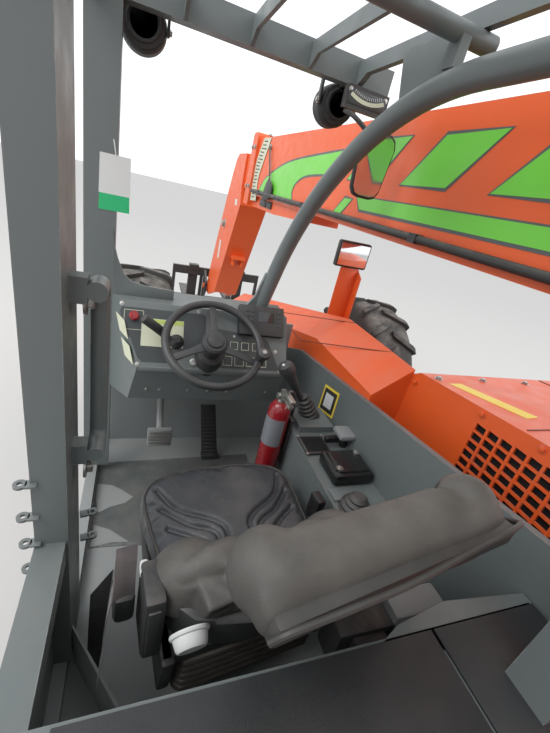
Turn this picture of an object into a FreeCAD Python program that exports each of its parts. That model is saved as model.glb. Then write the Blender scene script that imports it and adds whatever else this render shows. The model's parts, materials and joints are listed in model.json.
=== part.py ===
import FreeCAD, Part
import math
import os

# Rough-terrain telehandler with an open cab on its left, a level boom with a
# gooseneck head, and pallet forks. Millimetres: +X right, +Y forward, +Z up.
# The origin is on the ground under the middle of the overall box.

V = FreeCAD.Vector

# Overall sizes
HALF_WIDTH = 1250
HALF_LENGTH = 4130
BALLAST_LEN = 410
BALLAST_FRONT = BALLAST_LEN - HALF_LENGTH
FORK_REACH = 1290
CARRIAGE_Y = HALF_LENGTH - FORK_REACH
RUNNING = 0.1
SEAT_GAP = 0.3
SWING_GAP = 8

# Axles and wheels
TYRE_R = 690
TYRE_W = 440
TYRE_SIDES = 32
LUG_PAIRS = 16
LUG_H = 33
LUG_W = 58
LUG_OVERLAP = 14
LUG_EDGE = 26
LUG_SWEEP = 0.75
LUG_PHASE = 0.4375
LUG_ROOT = 50
RIM_R = 318
RIM_T = 12
FRONT_AXLE_Y = 650
REAR_AXLE_Y = -2750
AXLE_Z = TYRE_R
BEAM_R = 110
BEAM_HALF = 560
BOWL_R = 155
BOWL_HALF = 150
PAD_H = 160
KINGPIN_X = 700
YOKE_BACK = KINGPIN_X - 102
KINGPIN_R = 30
EAR_GAP = 112
EAR_T = 34
EAR_REACH = 90
EAR_HALF_Y = 70
KNUCKLE_R = 84
HUB_R = 88
HUB_FACE_X = 850
FLANGE_R = 190
FLANGE_T = 20
RIM_INNER_X = HALF_WIDTH - TYRE_W + 12
CORNERS = (("front_left", -1, FRONT_AXLE_Y), ("front_right", 1, FRONT_AXLE_Y),
           ("rear_left", -1, REAR_AXLE_Y), ("rear_right", 1, REAR_AXLE_Y))

# Main frame
FRAME_IN = 180
FRAME_T = 35
FRAME_OUT = FRAME_IN + FRAME_T
FRAME_LOW = 520
FRAME_TOP = 1000
FRAME_FRONT = 1150
REAR_OVERHANG = 70
FRAME_REAR = REAR_OVERHANG - HALF_LENGTH
ARCH_HALF = 210
ARCH_TOP = AXLE_Z + PAD_H
UPRIGHT_FRONT = FRAME_REAR + 730
TIE_DOWN_Y = (REAR_AXLE_Y - TYRE_R + BALLAST_FRONT + 60) / 2
TIE_DOWN_Z = 700
TIE_DOWN_R = 20
BELLY_T = 20
TIE_HALF = 30
TIE_PLACES = (-2350, -1400, -300, 330)

# Boom, pivoted high at the rear
PIVOT_Y = FRAME_REAR + 185
PIVOT_Z = 2240
PIVOT_R = 45
PIVOT_BOSS_R = 140
BOOM_HALF = 150
BOOM_WALL = 12
BOOM_LOW = 2022
BOOM_HIGH = 2461
BOOM_REAR = PIVOT_Y - 150
HEAD_REACH = 1375
BOOM_FRONT = CARRIAGE_Y - HEAD_REACH
COLLAR_LEN = 150
COLLAR_T = 22
COLLAR_TOP = 2507
FOOT_LOW = 1935
FOOT_LEN = 810
FOOT_REAR = BOOM_FRONT - FOOT_LEN
FOOT_TAPER = 600
INNER_HALF = 120
INNER_WALL = 12
INNER_LOW = 2055
INNER_HIGH = 2358
INNER_REAR = BOOM_FRONT - 4065
PAD_GAP = 0.5
PAD_LEN = 70
PIPE_R = 14
PIPE_REAR = BOOM_REAR + 420
PIPE_FRONT = BOOM_FRONT - COLLAR_LEN - 60
CLIP_HALF = 16
CLIP_LEN = 40
CLIP_PITCH = 1100
CLIP_REAR = PIPE_REAR + 305
CLIP_FRONT = PIPE_FRONT - 255

# Lift cylinder, from the frame up to a lug under the boom
LIFT_FRAME_Y = PIVOT_Y + 100
LIFT_FRAME_Z = PIVOT_Z - 1150
LIFT_BOOM_Y = PIVOT_Y + 800
LIFT_BOOM_Z = PIVOT_Z - 330
LIFT_PIN_R = 35
LIFT_EYE_R = 58
LIFT_BARREL_R = 68
LIFT_ROD_R = 38
LIFT_BARREL_END = 940
LIFT_ROD_TAIL = 110
LUG_IN = 62
LUG_T = 26
LUG_BOSS_T = 18

# Gooseneck head and its tilt cylinder
HEAD_HALF = 140
HEAD_T = 25
COVER_T = 16
HEAD_BEND_Y = CARRIAGE_Y - 735
HEAD_ROOT_Y = HEAD_BEND_Y - 340
HEAD_BACK_TOP_Y = CARRIAGE_Y - 1140
HEAD_BACK_TOP_Z = 1900
HEAD_BACK_LOW_Y = CARRIAGE_Y - 510
HEAD_BACK_LOW_Z = 800
CARRIAGE_Z = 730
CARRIAGE_PIN_R = 35
HEAD_BOSS_R = 65
HEAD_BOSS_T = 14
CARRIAGE_EAR_T = 30
HOOK_Z = 1345
HOOK_REACH = 85
# Front of the gooseneck above its cover plate's end: Y from the carriage's pin, then Z
NOSE = ((-465, 1990), (-585, 2200), (-665, 2310))
NOSE_LOW = (-280, 1590)
TILT_HEAD_Y = CARRIAGE_Y - 510
TILT_HEAD_Z = 1630
TILT_CARRIAGE_Y = CARRIAGE_Y - 40
TILT_CARRIAGE_Z = 1000
TILT_PIN_R = 25
TILT_EYE_R = 42
TILT_BARREL_R = 50
TILT_ROD_R = 26
TILT_BARREL_END = 620
TILT_ROD_TAIL = 220
TILT_LUG_IN = 34
TILT_LUG_T = 20

# Fork carriage
CARRIAGE_FACE_Y = CARRIAGE_Y + 145
CARRIAGE_T = 40
CARRIAGE_HALF = 610
CARRIAGE_BAR_H = 110
CARRIAGE_LOW = 420
CARRIAGE_TOP = 930
FORK_W = 125
FORK_T = 50
FORK_X = 330
FORK_LOW = 350
FORK_TOP = 960

# Cab
CAB_LEFT = -1245
FLOOR_Z = 770
FLOOR_T = 12
FLOOR_LEFT = -1190
WALL_X = -290
WALL_T = 20
CAB_FRONT = -550
CAB_REAR_LOW = -1800
CAB_CORNER_X = -1045
CAB_CORNER_T = 6
CAB_CORNER_TOP = 930
CAB_SKIN_T = 6
SHELF_FRONT = -2040
SHELF_REAR = -2250
SHELF_Z = 1480
SHELF_T = 60
WALL_TOP_REAR = 1603
WALL_TOP_REAR_Y = -1971
WALL_TOP_FRONT = 1425
WALL_TOP_FRONT_Y = -710
SILL_H = 40
CAB_RAIL_T = 60
FRONT_POST_Y = -775
FRONT_POST_HALF = 25
FRONT_POST_X = -1145
REAR_POST_Y = -1520
REAR_POST_HALF = 80
REAR_POST_X = -1180
SIDE_RAIL_TOP = 1300
SIDE_RAIL_H = 60
SIDE_RAIL_REAR = -2235
ROOF_TOP = 2560
ROOF_BEAM_H = 80
ROOF_BEAM_LOW = ROOF_TOP - ROOF_BEAM_H
ROOF_RIB_H = 50
ROOF_RIB_T = 12
ROOF_RIB_FLARE = 60
ROOF_RIBS = 3
ROOF_REAR = -2160
ROOF_RIGHT = -260
ROOF_RAIL_X = -375
ROOF_RAIL_T = 20
BACK_POST = 70
CROSS_TUBE_Y = -1360
CROSS_TUBE_R = 21

# Bent tube from the dash's right end up to the roof, with a web where it meets the front beam
DASH_TOP = 1640
TUBE_R = 30
TUBE_TOP_X = -437
TUBE_TOP_Z = ROOF_TOP - 160
TUBE_BEND_Y = -879
TUBE_STRAIGHT = 70
TUBE_BEND_R = TUBE_TOP_Z - DASH_TOP - TUBE_STRAIGHT
TUBE_FOOT_X = -567
WEB_HALF_T = 4
WEB_LOW_Y = -1190
WEB_FRONT_Y = -1150
GUSSET_W = 75
GUSSET_H = 160
GUSSET_T = 18

# Grab handle on the rear-left post
HANDLE_R = 19
HANDLE_X = -1134
HANDLE_Y = -1462
HANDLE_LEG = 74
HANDLE_LOW = 1493
HANDLE_TOP = 1868

# Dash, column and wheel
DASH_LEFT = -1165
DASH_RIGHT = -462
DASH_BACK_Y = -715
DASH_CHEEK_X = -1049
DASH_CHEEK_Y = -768
DASH_FACE_Y = -850
DASH_MID_Y = -980
DASH_MID_Z = 1430
DASH_LOW_Y = -930
DASH_LOW_Z = 1260
HUB_X = -790
HUB_Y = -1020
HUB_Z = 1560
WHEEL_R = 188
WHEEL_TUBE_R = 14
WHEEL_LEAN = 35
COLUMN_R = 32

# Pedals: the brake's pad and the accelerator's plate
PEDAL_Y = -915
BRAKE_X = -940
BRAKE_W = 90
BRAKE_LOW = 1065
BRAKE_TOP = 1110
GAS_X = -595
GAS_W = 50
GAS_Y = -674
GAS_LOW = 800
GAS_TOP = 985
GAS_LEAN = 25
PEDAL_T = 12

# Seat, turned a little to the left about its middle
SEAT_X = -753
SEAT_Y = -1640
SEAT_TURN = 6
SEAT_HALF = 245
SEAT_FRONT = 335
SEAT_BACK = 75
SEAT_TOP = 1240
CUSHION_T = 110
CUSHION_LOW = SEAT_TOP - CUSHION_T
WING_HALF = 250
WING_W = 66
BACK_TOP = 1746
SEAT_BASE_HALF = 190
SEAT_BASE_REAR = -120
SEAT_BASE_FRONT = 200
SUSPENSION_LOW = 950

# Console on the right of the seat
CONSOLE_LEFT = -480
CONSOLE_TOP = 1300
CONSOLE_REAR = -1620
CONSOLE_FRONT = -1010
STICK_X = -387
STICK_Y = -1124
STICK_LEAN = 36
STICK_LEN = 250
STICK_BOOT_R = 38
STICK_GRIP_R = 25
BOTTLE_X = -540
BOTTLE_Y = -1170
BOTTLE_R = 54
BOTTLE_LOW = 1060
BOTTLE_SHOULDER = 1370
BOTTLE_TOP = 1447

# Deck beside the boom and the engine pod on the right
LIP_X = -120
DECK_LOW = FRAME_TOP
DECK_WALL_Z = 1530
DECK_LIP_Z = 1641
DECK_REAR = -1300
DECK_NOSE_Y = 1035
DECK_NOSE_Z = 1190
SHEET = 8
HOOD_RIGHT = 1090
HOOD_FRONT = -1100
HOOD_FOLD_Y = -1330
HOOD_FOLD_Z = 1645
HOOD_REAR = -2690
HOOD_REAR_Z = 1800
HOOD_SHELF_Z = 1420
POD_LEFT = 235
POD_REAR = -1850
POD_LOW = 640
GRILLE_Y = -1602
GRILLE_Z = 1628
GRILLE_PITCH_Y = 42
GRILLE_PITCH_Z = 30
GRILLE_HOLE_W = 34
GRILLE_HOLE_H = 23
GRILLE_COLUMNS = 10
GRILLE_ROWS = 6

# Lights and mirrors
LIGHT_R = 70
LIGHT_Z = ROOF_BEAM_LOW - 42
LIGHT_LEN = 90
# Each light's X, 1 where it looks ahead, and its height from LIGHT_Z
LIGHTS = ((-410, 1, -10), (-1090, 1, 22), (-560, -1, 0), (-1130, -1, 0))
GAUGE_LEFT = -432
GAUGE_RIGHT = -262
GAUGE_T = 22
GAUGE_LOW = ROOF_BEAM_LOW - 70
CAB_MIRROR_X = -304
CAB_MIRROR_Y = -900
CAB_MIRROR_W = 150
CAB_MIRROR_H = 216
CAB_MIRROR_TOP = GAUGE_LOW - 51
MIRROR_ARM_R = 9
DECK_MIRROR_X = -75
DECK_MIRROR_Y = -570
DECK_MIRROR_W = 180
DECK_MIRROR_H = 127
DECK_MIRROR_LOW = DECK_LIP_Z + 194
BRACKET_W = 109
BRACKET_T = 8
BRACKET_LOW = DECK_WALL_Z - 80

# Tanks, ballast and steps
BALLAST_REAR = -HALF_LENGTH
BALLAST_HALF = 1050
BALLAST_LOW = 600
BALLAST_TOP = 1330
HITCH_Z = 760
HITCH_X = 160
HITCH_SPAN = 100
HITCH_R = 10
HITCH_DEPTH = 50
TANK_FRONT = -290
TANK_REAR = -1080
TANK_RIGHT = 1000
TANK_LOW = 560
TANK_TOP = 1060
STEP_OUT = -1240
STEP_W = 240
STEP_REAR = -1420
STEP_FRONT = -820
STEP_LOW = 380
STEP_T = 30
STEP_PLATE_T = 24


def box(x0, x1, y0, y1, z0, z1):
    """A block between six faces, in any order."""
    low = V(min(x0, x1), min(y0, y1), min(z0, z1))
    return Part.makeBox(abs(x1 - x0), abs(y1 - y0), abs(z1 - z0), low)


def side_plate(points, x0, x1):
    """A plate whose outline is drawn in Y and Z."""
    corners = [V(x0, y, z) for y, z in points]
    return Part.Face(Part.makePolygon(corners + corners[:1])).extrude(V(x1 - x0, 0, 0))


def flat_plate(points, z0, z1):
    """A plate whose outline is drawn in X and Y."""
    corners = [V(x, y, z0) for x, y in points]
    return Part.Face(Part.makePolygon(corners + corners[:1])).extrude(V(0, 0, z1 - z0))


def bar(start, end, radius):
    """A round bar from one point to another."""
    run = end - start
    return Part.makeCylinder(radius, run.Length, start, run)


def cross_pin(x0, x1, y, z, radius):
    """A round pin across the machine."""
    return bar(V(min(x0, x1), y, z), V(max(x0, x1), y, z), radius)


def bent_tube(points, radius, bend):
    """A round tube along straight runs joined by tangent arcs."""
    edges = []
    last = points[0]
    for before, corner, after in zip(points, points[1:], points[2:]):
        back = (before - corner).normalize()
        ahead = (after - corner).normalize()
        half = back.getAngle(ahead) / 2
        setback = bend / math.tan(half)
        middle = (back + ahead).normalize()
        start = corner + back * setback
        end = corner + ahead * setback
        on_arc = corner + middle * (bend / math.sin(half) - bend)
        edges.append(Part.LineSegment(last, start).toShape())
        edges.append(Part.Arc(start, on_arc, end).toShape())
        last = end
    edges.append(Part.LineSegment(last, points[-1]).toShape())
    profile = Part.Wire([Part.makeCircle(radius, points[0], points[1] - points[0])])
    return Part.Wire(edges).makePipeShell([profile], True, False)


def ring(profile, centre, axis):
    """A solid of revolution; its profile gives radius and place along the axis."""
    corners = [V(r, 0, a) for r, a in profile]
    face = Part.Face(Part.makePolygon(corners + corners[:1]))
    solid = face.revolve(V(0, 0, 0), V(0, 0, 1), 360)
    solid.Placement = FreeCAD.Placement(centre, FreeCAD.Rotation(V(0, 0, 1), axis))
    return solid


def tilted(shape, about, axis, degrees):
    """A copy turned about a point."""
    turned = shape.copy()
    turned.rotate(about, axis, degrees)
    return turned


def joined(pieces):
    """One solid from pieces that meet."""
    solid = pieces[0]
    if len(pieces) > 1:
        solid = pieces[0].multiFuse(pieces[1:])
    return solid.removeSplitter()


def both_sides(shape):
    """A shape and its mirror image across the middle plane."""
    return [shape, shape.mirror(V(0, 0, 0), V(1, 0, 0))]


def save(name, solids):
    """Write one node, whether it is one solid or several apart."""
    shape = solids if isinstance(solids, Part.Shape) else Part.makeCompound(solids)
    shape.exportStep(os.path.join("parts", name + ".step"))


def frame_side():
    """One long side plate, high at the rear for the boom's pivot."""
    def arch(axle_y):
        return [(axle_y - ARCH_HALF, FRAME_LOW), (axle_y - ARCH_HALF + 50, ARCH_TOP),
                (axle_y + ARCH_HALF - 50, ARCH_TOP), (axle_y + ARCH_HALF, FRAME_LOW)]
    outline = [(FRAME_REAR, FRAME_LOW + 80)]
    outline += arch(REAR_AXLE_Y) + arch(FRONT_AXLE_Y)
    outline += [(FRAME_FRONT, FRAME_LOW + 120), (FRAME_FRONT, FRAME_TOP - 60),
                (FRAME_FRONT - 80, FRAME_TOP), (UPRIGHT_FRONT + 330, FRAME_TOP),
                (UPRIGHT_FRONT, FRAME_TOP + 330), (PIVOT_Y + PIVOT_BOSS_R, PIVOT_Z - 40),
                (PIVOT_Y + 70, PIVOT_Z + PIVOT_BOSS_R - 20), (PIVOT_Y - 70, PIVOT_Z + PIVOT_BOSS_R - 20),
                (FRAME_REAR, PIVOT_Z - 60)]
    plate = side_plate(outline, FRAME_IN, FRAME_OUT)
    boss = cross_pin(BOOM_HALF + SWING_GAP, FRAME_OUT + 20, PIVOT_Y, PIVOT_Z, PIVOT_BOSS_R - 40)
    hole = cross_pin(0, FRAME_IN, PIVOT_Y, PIVOT_Z, PIVOT_R)
    tie = cross_pin(0, FRAME_OUT + 1, TIE_DOWN_Y, TIE_DOWN_Z, TIE_DOWN_R)
    return plate.fuse(boss).cut(tie).cut(hole).removeSplitter()


def make_frame_ties():
    """Belly plate and cross boxes between the side plates."""
    pieces = [box(-FRAME_IN, FRAME_IN, REAR_AXLE_Y + ARCH_HALF + 40, FRONT_AXLE_Y - ARCH_HALF - 40,
                  FRAME_LOW, FRAME_LOW + BELLY_T)]
    for tie_y in TIE_PLACES:
        pieces.append(box(-FRAME_IN, FRAME_IN, tie_y - TIE_HALF, tie_y + TIE_HALF,
                          FRAME_LOW + BELLY_T, FRAME_TOP - 60))
    return joined(pieces)


def make_frame_ends():
    """Front tie, rear plate, axle saddles and the two pins across the side plates."""
    front = FRAME_FRONT - 130
    pieces = [box(-FRAME_IN, FRAME_IN, front - TIE_HALF, front + TIE_HALF, FRAME_LOW + 120, FRAME_TOP - 60),
              box(-FRAME_IN, FRAME_IN, FRAME_REAR, FRAME_REAR + 40, FRAME_LOW + 80, PIVOT_Z - 420)]
    for axle_y in (FRONT_AXLE_Y, REAR_AXLE_Y):
        pieces.append(box(-FRAME_IN, FRAME_IN, axle_y - 120, axle_y + 120, ARCH_TOP, ARCH_TOP + 60))
    pieces.append(cross_pin(-FRAME_IN, FRAME_IN, PIVOT_Y, PIVOT_Z, PIVOT_R))
    pieces.append(cross_pin(-FRAME_IN, FRAME_IN, LIFT_FRAME_Y, LIFT_FRAME_Z, LIFT_PIN_R))
    return pieces


def make_side_beams():
    """Beams out from the side plates that carry the cab, the engine pod and the tank."""
    beams = []
    for beam_y in (CAB_REAR_LOW + 80, CAB_FRONT - 120):
        beams.append(box(FLOOR_LEFT + 40, -FRAME_OUT, beam_y - 50, beam_y + 50,
                         FLOOR_Z - FLOOR_T - 90, FLOOR_Z - FLOOR_T))
    for beam_y in (POD_REAR + 90, POD_REAR + 560):
        beams.append(box(FRAME_OUT, HOOD_RIGHT - 60, beam_y - 45, beam_y + 45, POD_LOW - 80, POD_LOW))
    for beam_y in (TANK_REAR + 140, TANK_FRONT - 140):
        beams.append(box(FRAME_OUT, TANK_RIGHT - 80, beam_y - 40, beam_y + 40, TANK_LOW - 40, TANK_LOW))
    return beams


def make_axle(axle_y):
    """Axle beam, its bowl and pad, and the forked ends with kingpins."""
    pieces = [cross_pin(-BEAM_HALF, BEAM_HALF, axle_y, AXLE_Z, BEAM_R),
              cross_pin(-BOWL_HALF, BOWL_HALF, axle_y, AXLE_Z, BOWL_R),
              box(-FRAME_OUT, FRAME_OUT, axle_y - 90, axle_y + 90, AXLE_Z, ARCH_TOP)]
    end = [box(BEAM_HALF - 20, YOKE_BACK, axle_y - EAR_HALF_Y, axle_y + EAR_HALF_Y,
               AXLE_Z - EAR_GAP - EAR_T, AXLE_Z + EAR_GAP + EAR_T)]
    for side in (-1, 1):
        face = AXLE_Z + side * EAR_GAP
        end.append(box(YOKE_BACK - 18, KINGPIN_X + EAR_REACH, axle_y - EAR_HALF_Y, axle_y + EAR_HALF_Y,
                       face, face + side * EAR_T))
    end.append(bar(V(KINGPIN_X, axle_y, AXLE_Z - EAR_GAP - EAR_T - 14),
                   V(KINGPIN_X, axle_y, AXLE_Z + EAR_GAP + EAR_T + 14), KINGPIN_R))
    return joined(pieces + both_sides(joined(end)))


def make_knuckle(side, axle_y):
    """Steering knuckle with its hub and the flange that carries the rim."""
    half = EAR_GAP - 7
    body = Part.makeCylinder(KNUCKLE_R, 2 * half, V(KINGPIN_X, axle_y, AXLE_Z - half))
    hub = cross_pin(KINGPIN_X, HUB_FACE_X - FLANGE_T, axle_y, AXLE_Z, HUB_R)
    flange = cross_pin(HUB_FACE_X - FLANGE_T, HUB_FACE_X - SEAT_GAP, axle_y, AXLE_Z, FLANGE_R)
    spindle = cross_pin(HUB_FACE_X - FLANGE_T, HUB_FACE_X + 90, axle_y, AXLE_Z, HUB_R - 20)
    arm = box(KINGPIN_X - 30, KINGPIN_X + 30, axle_y - 190, axle_y, AXLE_Z - 20, AXLE_Z + 20)
    bore = Part.makeCylinder(KINGPIN_R + RUNNING, 4 * half, V(KINGPIN_X, axle_y, AXLE_Z - 2 * half))
    knuckle = joined([body, hub, flange, spindle, arm]).cut(bore)
    if side < 0:
        knuckle = knuckle.mirror(V(0, 0, 0), V(1, 0, 0))
    return knuckle


def make_rim(side, axle_y):
    """Wheel rim: a barrel with lips, a dished disc and a hub cap bored for the spindle."""
    inner = RIM_INNER_X
    outer = HALF_WIDTH - 12
    lip = RIM_R + 22
    profile = [(HUB_R - 20 + RUNNING, HUB_FACE_X), (HUB_R - 20 + RUNNING, HUB_FACE_X + 90 + SEAT_GAP),
               (0, HUB_FACE_X + 90 + SEAT_GAP), (0, HUB_FACE_X + 125), (105, HUB_FACE_X + 110),
               (120, HUB_FACE_X + 26), (RIM_R - 70, HUB_FACE_X + 60), (RIM_R - RIM_T, HUB_FACE_X + 90),
               (RIM_R - RIM_T, outer - 20), (lip - 10, outer), (lip, outer), (lip, outer - 10),
               (RIM_R, outer - 22), (RIM_R, inner + 22), (lip, inner + 10), (lip, inner),
               (lip - 10, inner), (RIM_R - RIM_T, inner + 20), (RIM_R - RIM_T, HUB_FACE_X + 66),
               (RIM_R - 74, HUB_FACE_X + 34), (130, HUB_FACE_X)]
    return ring(profile, V(0, axle_y, AXLE_Z), V(side, 0, 0))


def turned_point(x, radius, angle):
    """Point beside a wheel's axis, its angle in degrees from straight down towards the front."""
    turn = math.radians(angle)
    return V(x, radius * math.sin(turn), -radius * math.cos(turn))


def make_carcass(crown):
    """Tyre without its lugs, as a ring of flat facets about the X axis."""
    half = TYRE_W / 2
    bead = (RIM_R + SEAT_GAP) / math.cos(math.pi / TYRE_SIDES)
    side = [(bead, half - 40), (RIM_R + 60, half - 4), (RIM_R + 150, half), (crown - 32, half - 14),
            (crown, half - 74)]
    profile = side + [(radius, -x) for radius, x in reversed(side)]
    step = 360 / TYRE_SIDES
    faces = []
    for index in range(TYRE_SIDES):
        for (r0, x0), (r1, x1) in zip(profile, profile[1:] + profile[:1]):
            corners = [turned_point(x0, r0, step * index), turned_point(x1, r1, step * index),
                       turned_point(x1, r1, step * (index + 1)), turned_point(x0, r0, step * (index + 1))]
            faces.append(Part.Face(Part.makePolygon(corners + corners[:1])))
    return Part.makeSolid(Part.makeShell(faces))


def make_tread():
    """Tyre at the origin: two staggered rows of slanted lugs, standing on two lug corners."""
    pitch = 360 / LUG_PAIRS
    tip = TYRE_R / math.cos(math.radians(pitch / 8))
    reach = tip * math.sin(math.radians(pitch * LUG_SWEEP / 2))
    height = math.sqrt(tip ** 2 - reach ** 2)
    crown = TYRE_R - LUG_H
    root = crown - LUG_ROOT
    lugs = []
    for row, side in enumerate((-1, 1)):
        inner = -side * LUG_OVERLAP
        outer = side * (TYRE_W / 2 - LUG_EDGE)
        plan = [(inner, -reach), (inner, LUG_W - reach), (outer, reach), (outer, reach - LUG_W)]
        for index in range(LUG_PAIRS):
            angle = pitch * (index + row / 2 + LUG_PHASE)
            along = turned_point(0, 1, angle)
            across = turned_point(0, 1, angle + 90)
            corners = [V(x, 0, 0) + across * s + along * root for x, s in plan]
            face = Part.Face(Part.makePolygon(corners + corners[:1]))
            lugs.append(face.extrude(along * (height - root)))
    return make_carcass(crown).fuse(lugs).removeSplitter()


def make_tyre(tread, side, axle_y):
    """One tyre, its lugs' noses towards the ground at the front."""
    tyre = tread.copy() if side > 0 else tread.mirror(V(0, 0, 0), V(1, 0, 0))
    tyre.translate(V(side * (HALF_WIDTH - TYRE_W / 2), axle_y, AXLE_Z))
    return tyre


def make_boom_outer():
    """Outer boom: a box tube with a collar, a foot, wear pads and the lift lugs."""
    tube = box(-BOOM_HALF, BOOM_HALF, BOOM_REAR, BOOM_FRONT, BOOM_LOW, BOOM_HIGH)
    inside = box(-BOOM_HALF + BOOM_WALL, BOOM_HALF - BOOM_WALL, BOOM_REAR + BOOM_WALL, BOOM_FRONT + 1,
                 BOOM_LOW + BOOM_WALL, BOOM_HIGH - BOOM_WALL)
    tube = tube.cut(inside)
    collar = box(-BOOM_HALF - COLLAR_T, BOOM_HALF + COLLAR_T, BOOM_FRONT - COLLAR_LEN, BOOM_FRONT,
                 FOOT_LOW, COLLAR_TOP)
    collar = collar.makeChamfer(24, [e for e in collar.Edges
                                     if abs(e.CenterOfMass.z - COLLAR_TOP) < 1 and e.Length > COLLAR_LEN + 1])
    collar = collar.cut(box(-BOOM_HALF + 1, BOOM_HALF - 1, BOOM_FRONT - COLLAR_LEN - 1, BOOM_FRONT + 1,
                            BOOM_LOW + 1, BOOM_HIGH - 1))
    foot = side_plate([(FOOT_REAR, FOOT_LOW), (BOOM_FRONT, FOOT_LOW), (BOOM_FRONT, BOOM_LOW),
                       (FOOT_REAR - FOOT_TAPER, BOOM_LOW), (FOOT_REAR - FOOT_TAPER, FOOT_LOW + 30)],
                      -BOOM_HALF + 20, BOOM_HALF - 20)
    pieces = [tube, collar, foot]
    pad_y = (BOOM_FRONT - PAD_LEN - 6, BOOM_FRONT - 6)
    pieces.append(box(-90, 90, *pad_y, INNER_HIGH + PAD_GAP, BOOM_HIGH - BOOM_WALL))
    pieces.append(box(-90, 90, *pad_y, BOOM_LOW + BOOM_WALL, INNER_LOW - PAD_GAP))
    for side in (-1, 1):
        pieces.append(box(side * (INNER_HALF + PAD_GAP), side * (BOOM_HALF - BOOM_WALL), *pad_y,
                          INNER_LOW + 60, INNER_HIGH - 60))
        pieces.append(box(side * LUG_IN, side * (LUG_IN + LUG_T), LIFT_BOOM_Y - 150, LIFT_BOOM_Y + 150,
                          LIFT_BOOM_Z - 75, BOOM_LOW))
        pieces.append(cross_pin(side * (LUG_IN + LUG_T), side * (LUG_IN + LUG_T + LUG_BOSS_T),
                                LIFT_BOOM_Y, LIFT_BOOM_Z, LIFT_PIN_R + 10))
    boom = joined(pieces)
    return boom.cut(cross_pin(-BOOM_HALF - 1, BOOM_HALF + 1, PIVOT_Y, PIVOT_Z, PIVOT_R + RUNNING))


def make_boom_pipes():
    """Steel pipe and its clips along the boom's lower left edge."""
    x = -BOOM_HALF - CLIP_HALF
    z = BOOM_LOW + 34
    pipe = bar(V(x, PIPE_REAR, z), V(x, PIPE_FRONT, z), PIPE_R)
    count = int((CLIP_FRONT - CLIP_REAR) // CLIP_PITCH) + 1
    places = [CLIP_REAR + CLIP_PITCH * index for index in range(count)]
    clips = [box(-BOOM_HALF, x - CLIP_HALF, y - CLIP_LEN / 2, y + CLIP_LEN / 2, z - CLIP_HALF, z + CLIP_HALF)
             for y in places + [CLIP_FRONT]]
    return joined([pipe] + clips)


def make_boom_inner():
    """Inner boom section, which slides in the outer one."""
    tube = box(-INNER_HALF, INNER_HALF, INNER_REAR, HEAD_ROOT_Y, INNER_LOW, INNER_HIGH)
    return tube.cut(box(-INNER_HALF + INNER_WALL, INNER_HALF - INNER_WALL, INNER_REAR - 1,
                        HEAD_ROOT_Y - 20, INNER_LOW + INNER_WALL, INNER_HIGH - INNER_WALL))


def head_back(z):
    """Place of the head's rear face at a height."""
    slope = (HEAD_BACK_LOW_Y - HEAD_BACK_TOP_Y) / (HEAD_BACK_TOP_Z - HEAD_BACK_LOW_Z)
    return HEAD_BACK_TOP_Y + slope * (HEAD_BACK_TOP_Z - z)


def make_boom_head():
    """Gooseneck: two cheeks, their back, top and front plates, a hook and the pin."""
    back_top = (HEAD_BACK_TOP_Y, HEAD_BACK_TOP_Z)
    back_low = (HEAD_BACK_LOW_Y, HEAD_BACK_LOW_Z)
    nose = [(CARRIAGE_Y + y, z) for y, z in NOSE]
    nose += [(HEAD_BEND_Y - 20, INNER_HIGH), (HEAD_ROOT_Y, INNER_HIGH)]
    cheek = [(HEAD_ROOT_Y, INNER_LOW), back_top, back_low, (CARRIAGE_Y - 90, CARRIAGE_Z - 85),
             (CARRIAGE_Y + 60, CARRIAGE_Z - 85), (CARRIAGE_Y + 95, CARRIAGE_Z),
             (CARRIAGE_Y + 50, CARRIAGE_Z + 90), (CARRIAGE_Y, CARRIAGE_Z + 270)] + nose
    pieces = both_sides(side_plate(cheek, HEAD_HALF - HEAD_T, HEAD_HALF))
    width = (-HEAD_HALF + HEAD_T, HEAD_HALF - HEAD_T)
    back = [(HEAD_ROOT_Y, INNER_LOW), back_top, back_low, (back_low[0] + COVER_T, back_low[1] + 10),
            (back_top[0] + COVER_T, back_top[1] + 4), (HEAD_ROOT_Y + COVER_T, INNER_LOW + COVER_T)]
    pieces.append(side_plate(back, *width))
    cover = [(CARRIAGE_Y + NOSE_LOW[0], NOSE_LOW[1])] + nose
    inside = [(y - 0.8 * COVER_T, z - 0.5 * COVER_T) for y, z in cover[:-1]]
    inside += [(HEAD_ROOT_Y, INNER_HIGH - COVER_T)]
    pieces.append(side_plate(cover + inside[::-1], *width))
    pin_end = HEAD_HALF + HEAD_BOSS_T + SWING_GAP + CARRIAGE_EAR_T + 12
    pieces.append(cross_pin(-pin_end, pin_end, CARRIAGE_Y, CARRIAGE_Z, CARRIAGE_PIN_R))
    pieces.append(cross_pin(-HEAD_HALF, HEAD_HALF, TILT_HEAD_Y, TILT_HEAD_Z, TILT_PIN_R))
    for side in (-1, 1):
        pieces.append(cross_pin(side * HEAD_HALF, side * (HEAD_HALF + HEAD_BOSS_T), CARRIAGE_Y, CARRIAGE_Z,
                                HEAD_BOSS_R))
    hook = HOOK_Z
    tip = head_back(hook) - HOOK_REACH
    pieces.append(side_plate([(head_back(hook), hook), (tip, hook), (tip, hook - 35),
                              (head_back(hook - 35), hook - 35)], -75, 75))
    for side in (-1, 1):
        pieces.append(side_plate([(head_back(hook), hook), (tip + 15, hook),
                                  (tip + 25, hook - 110), (head_back(hook - 110), hook - 110)],
                                 side * 38, side * 56))
    return joined(pieces)


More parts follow.
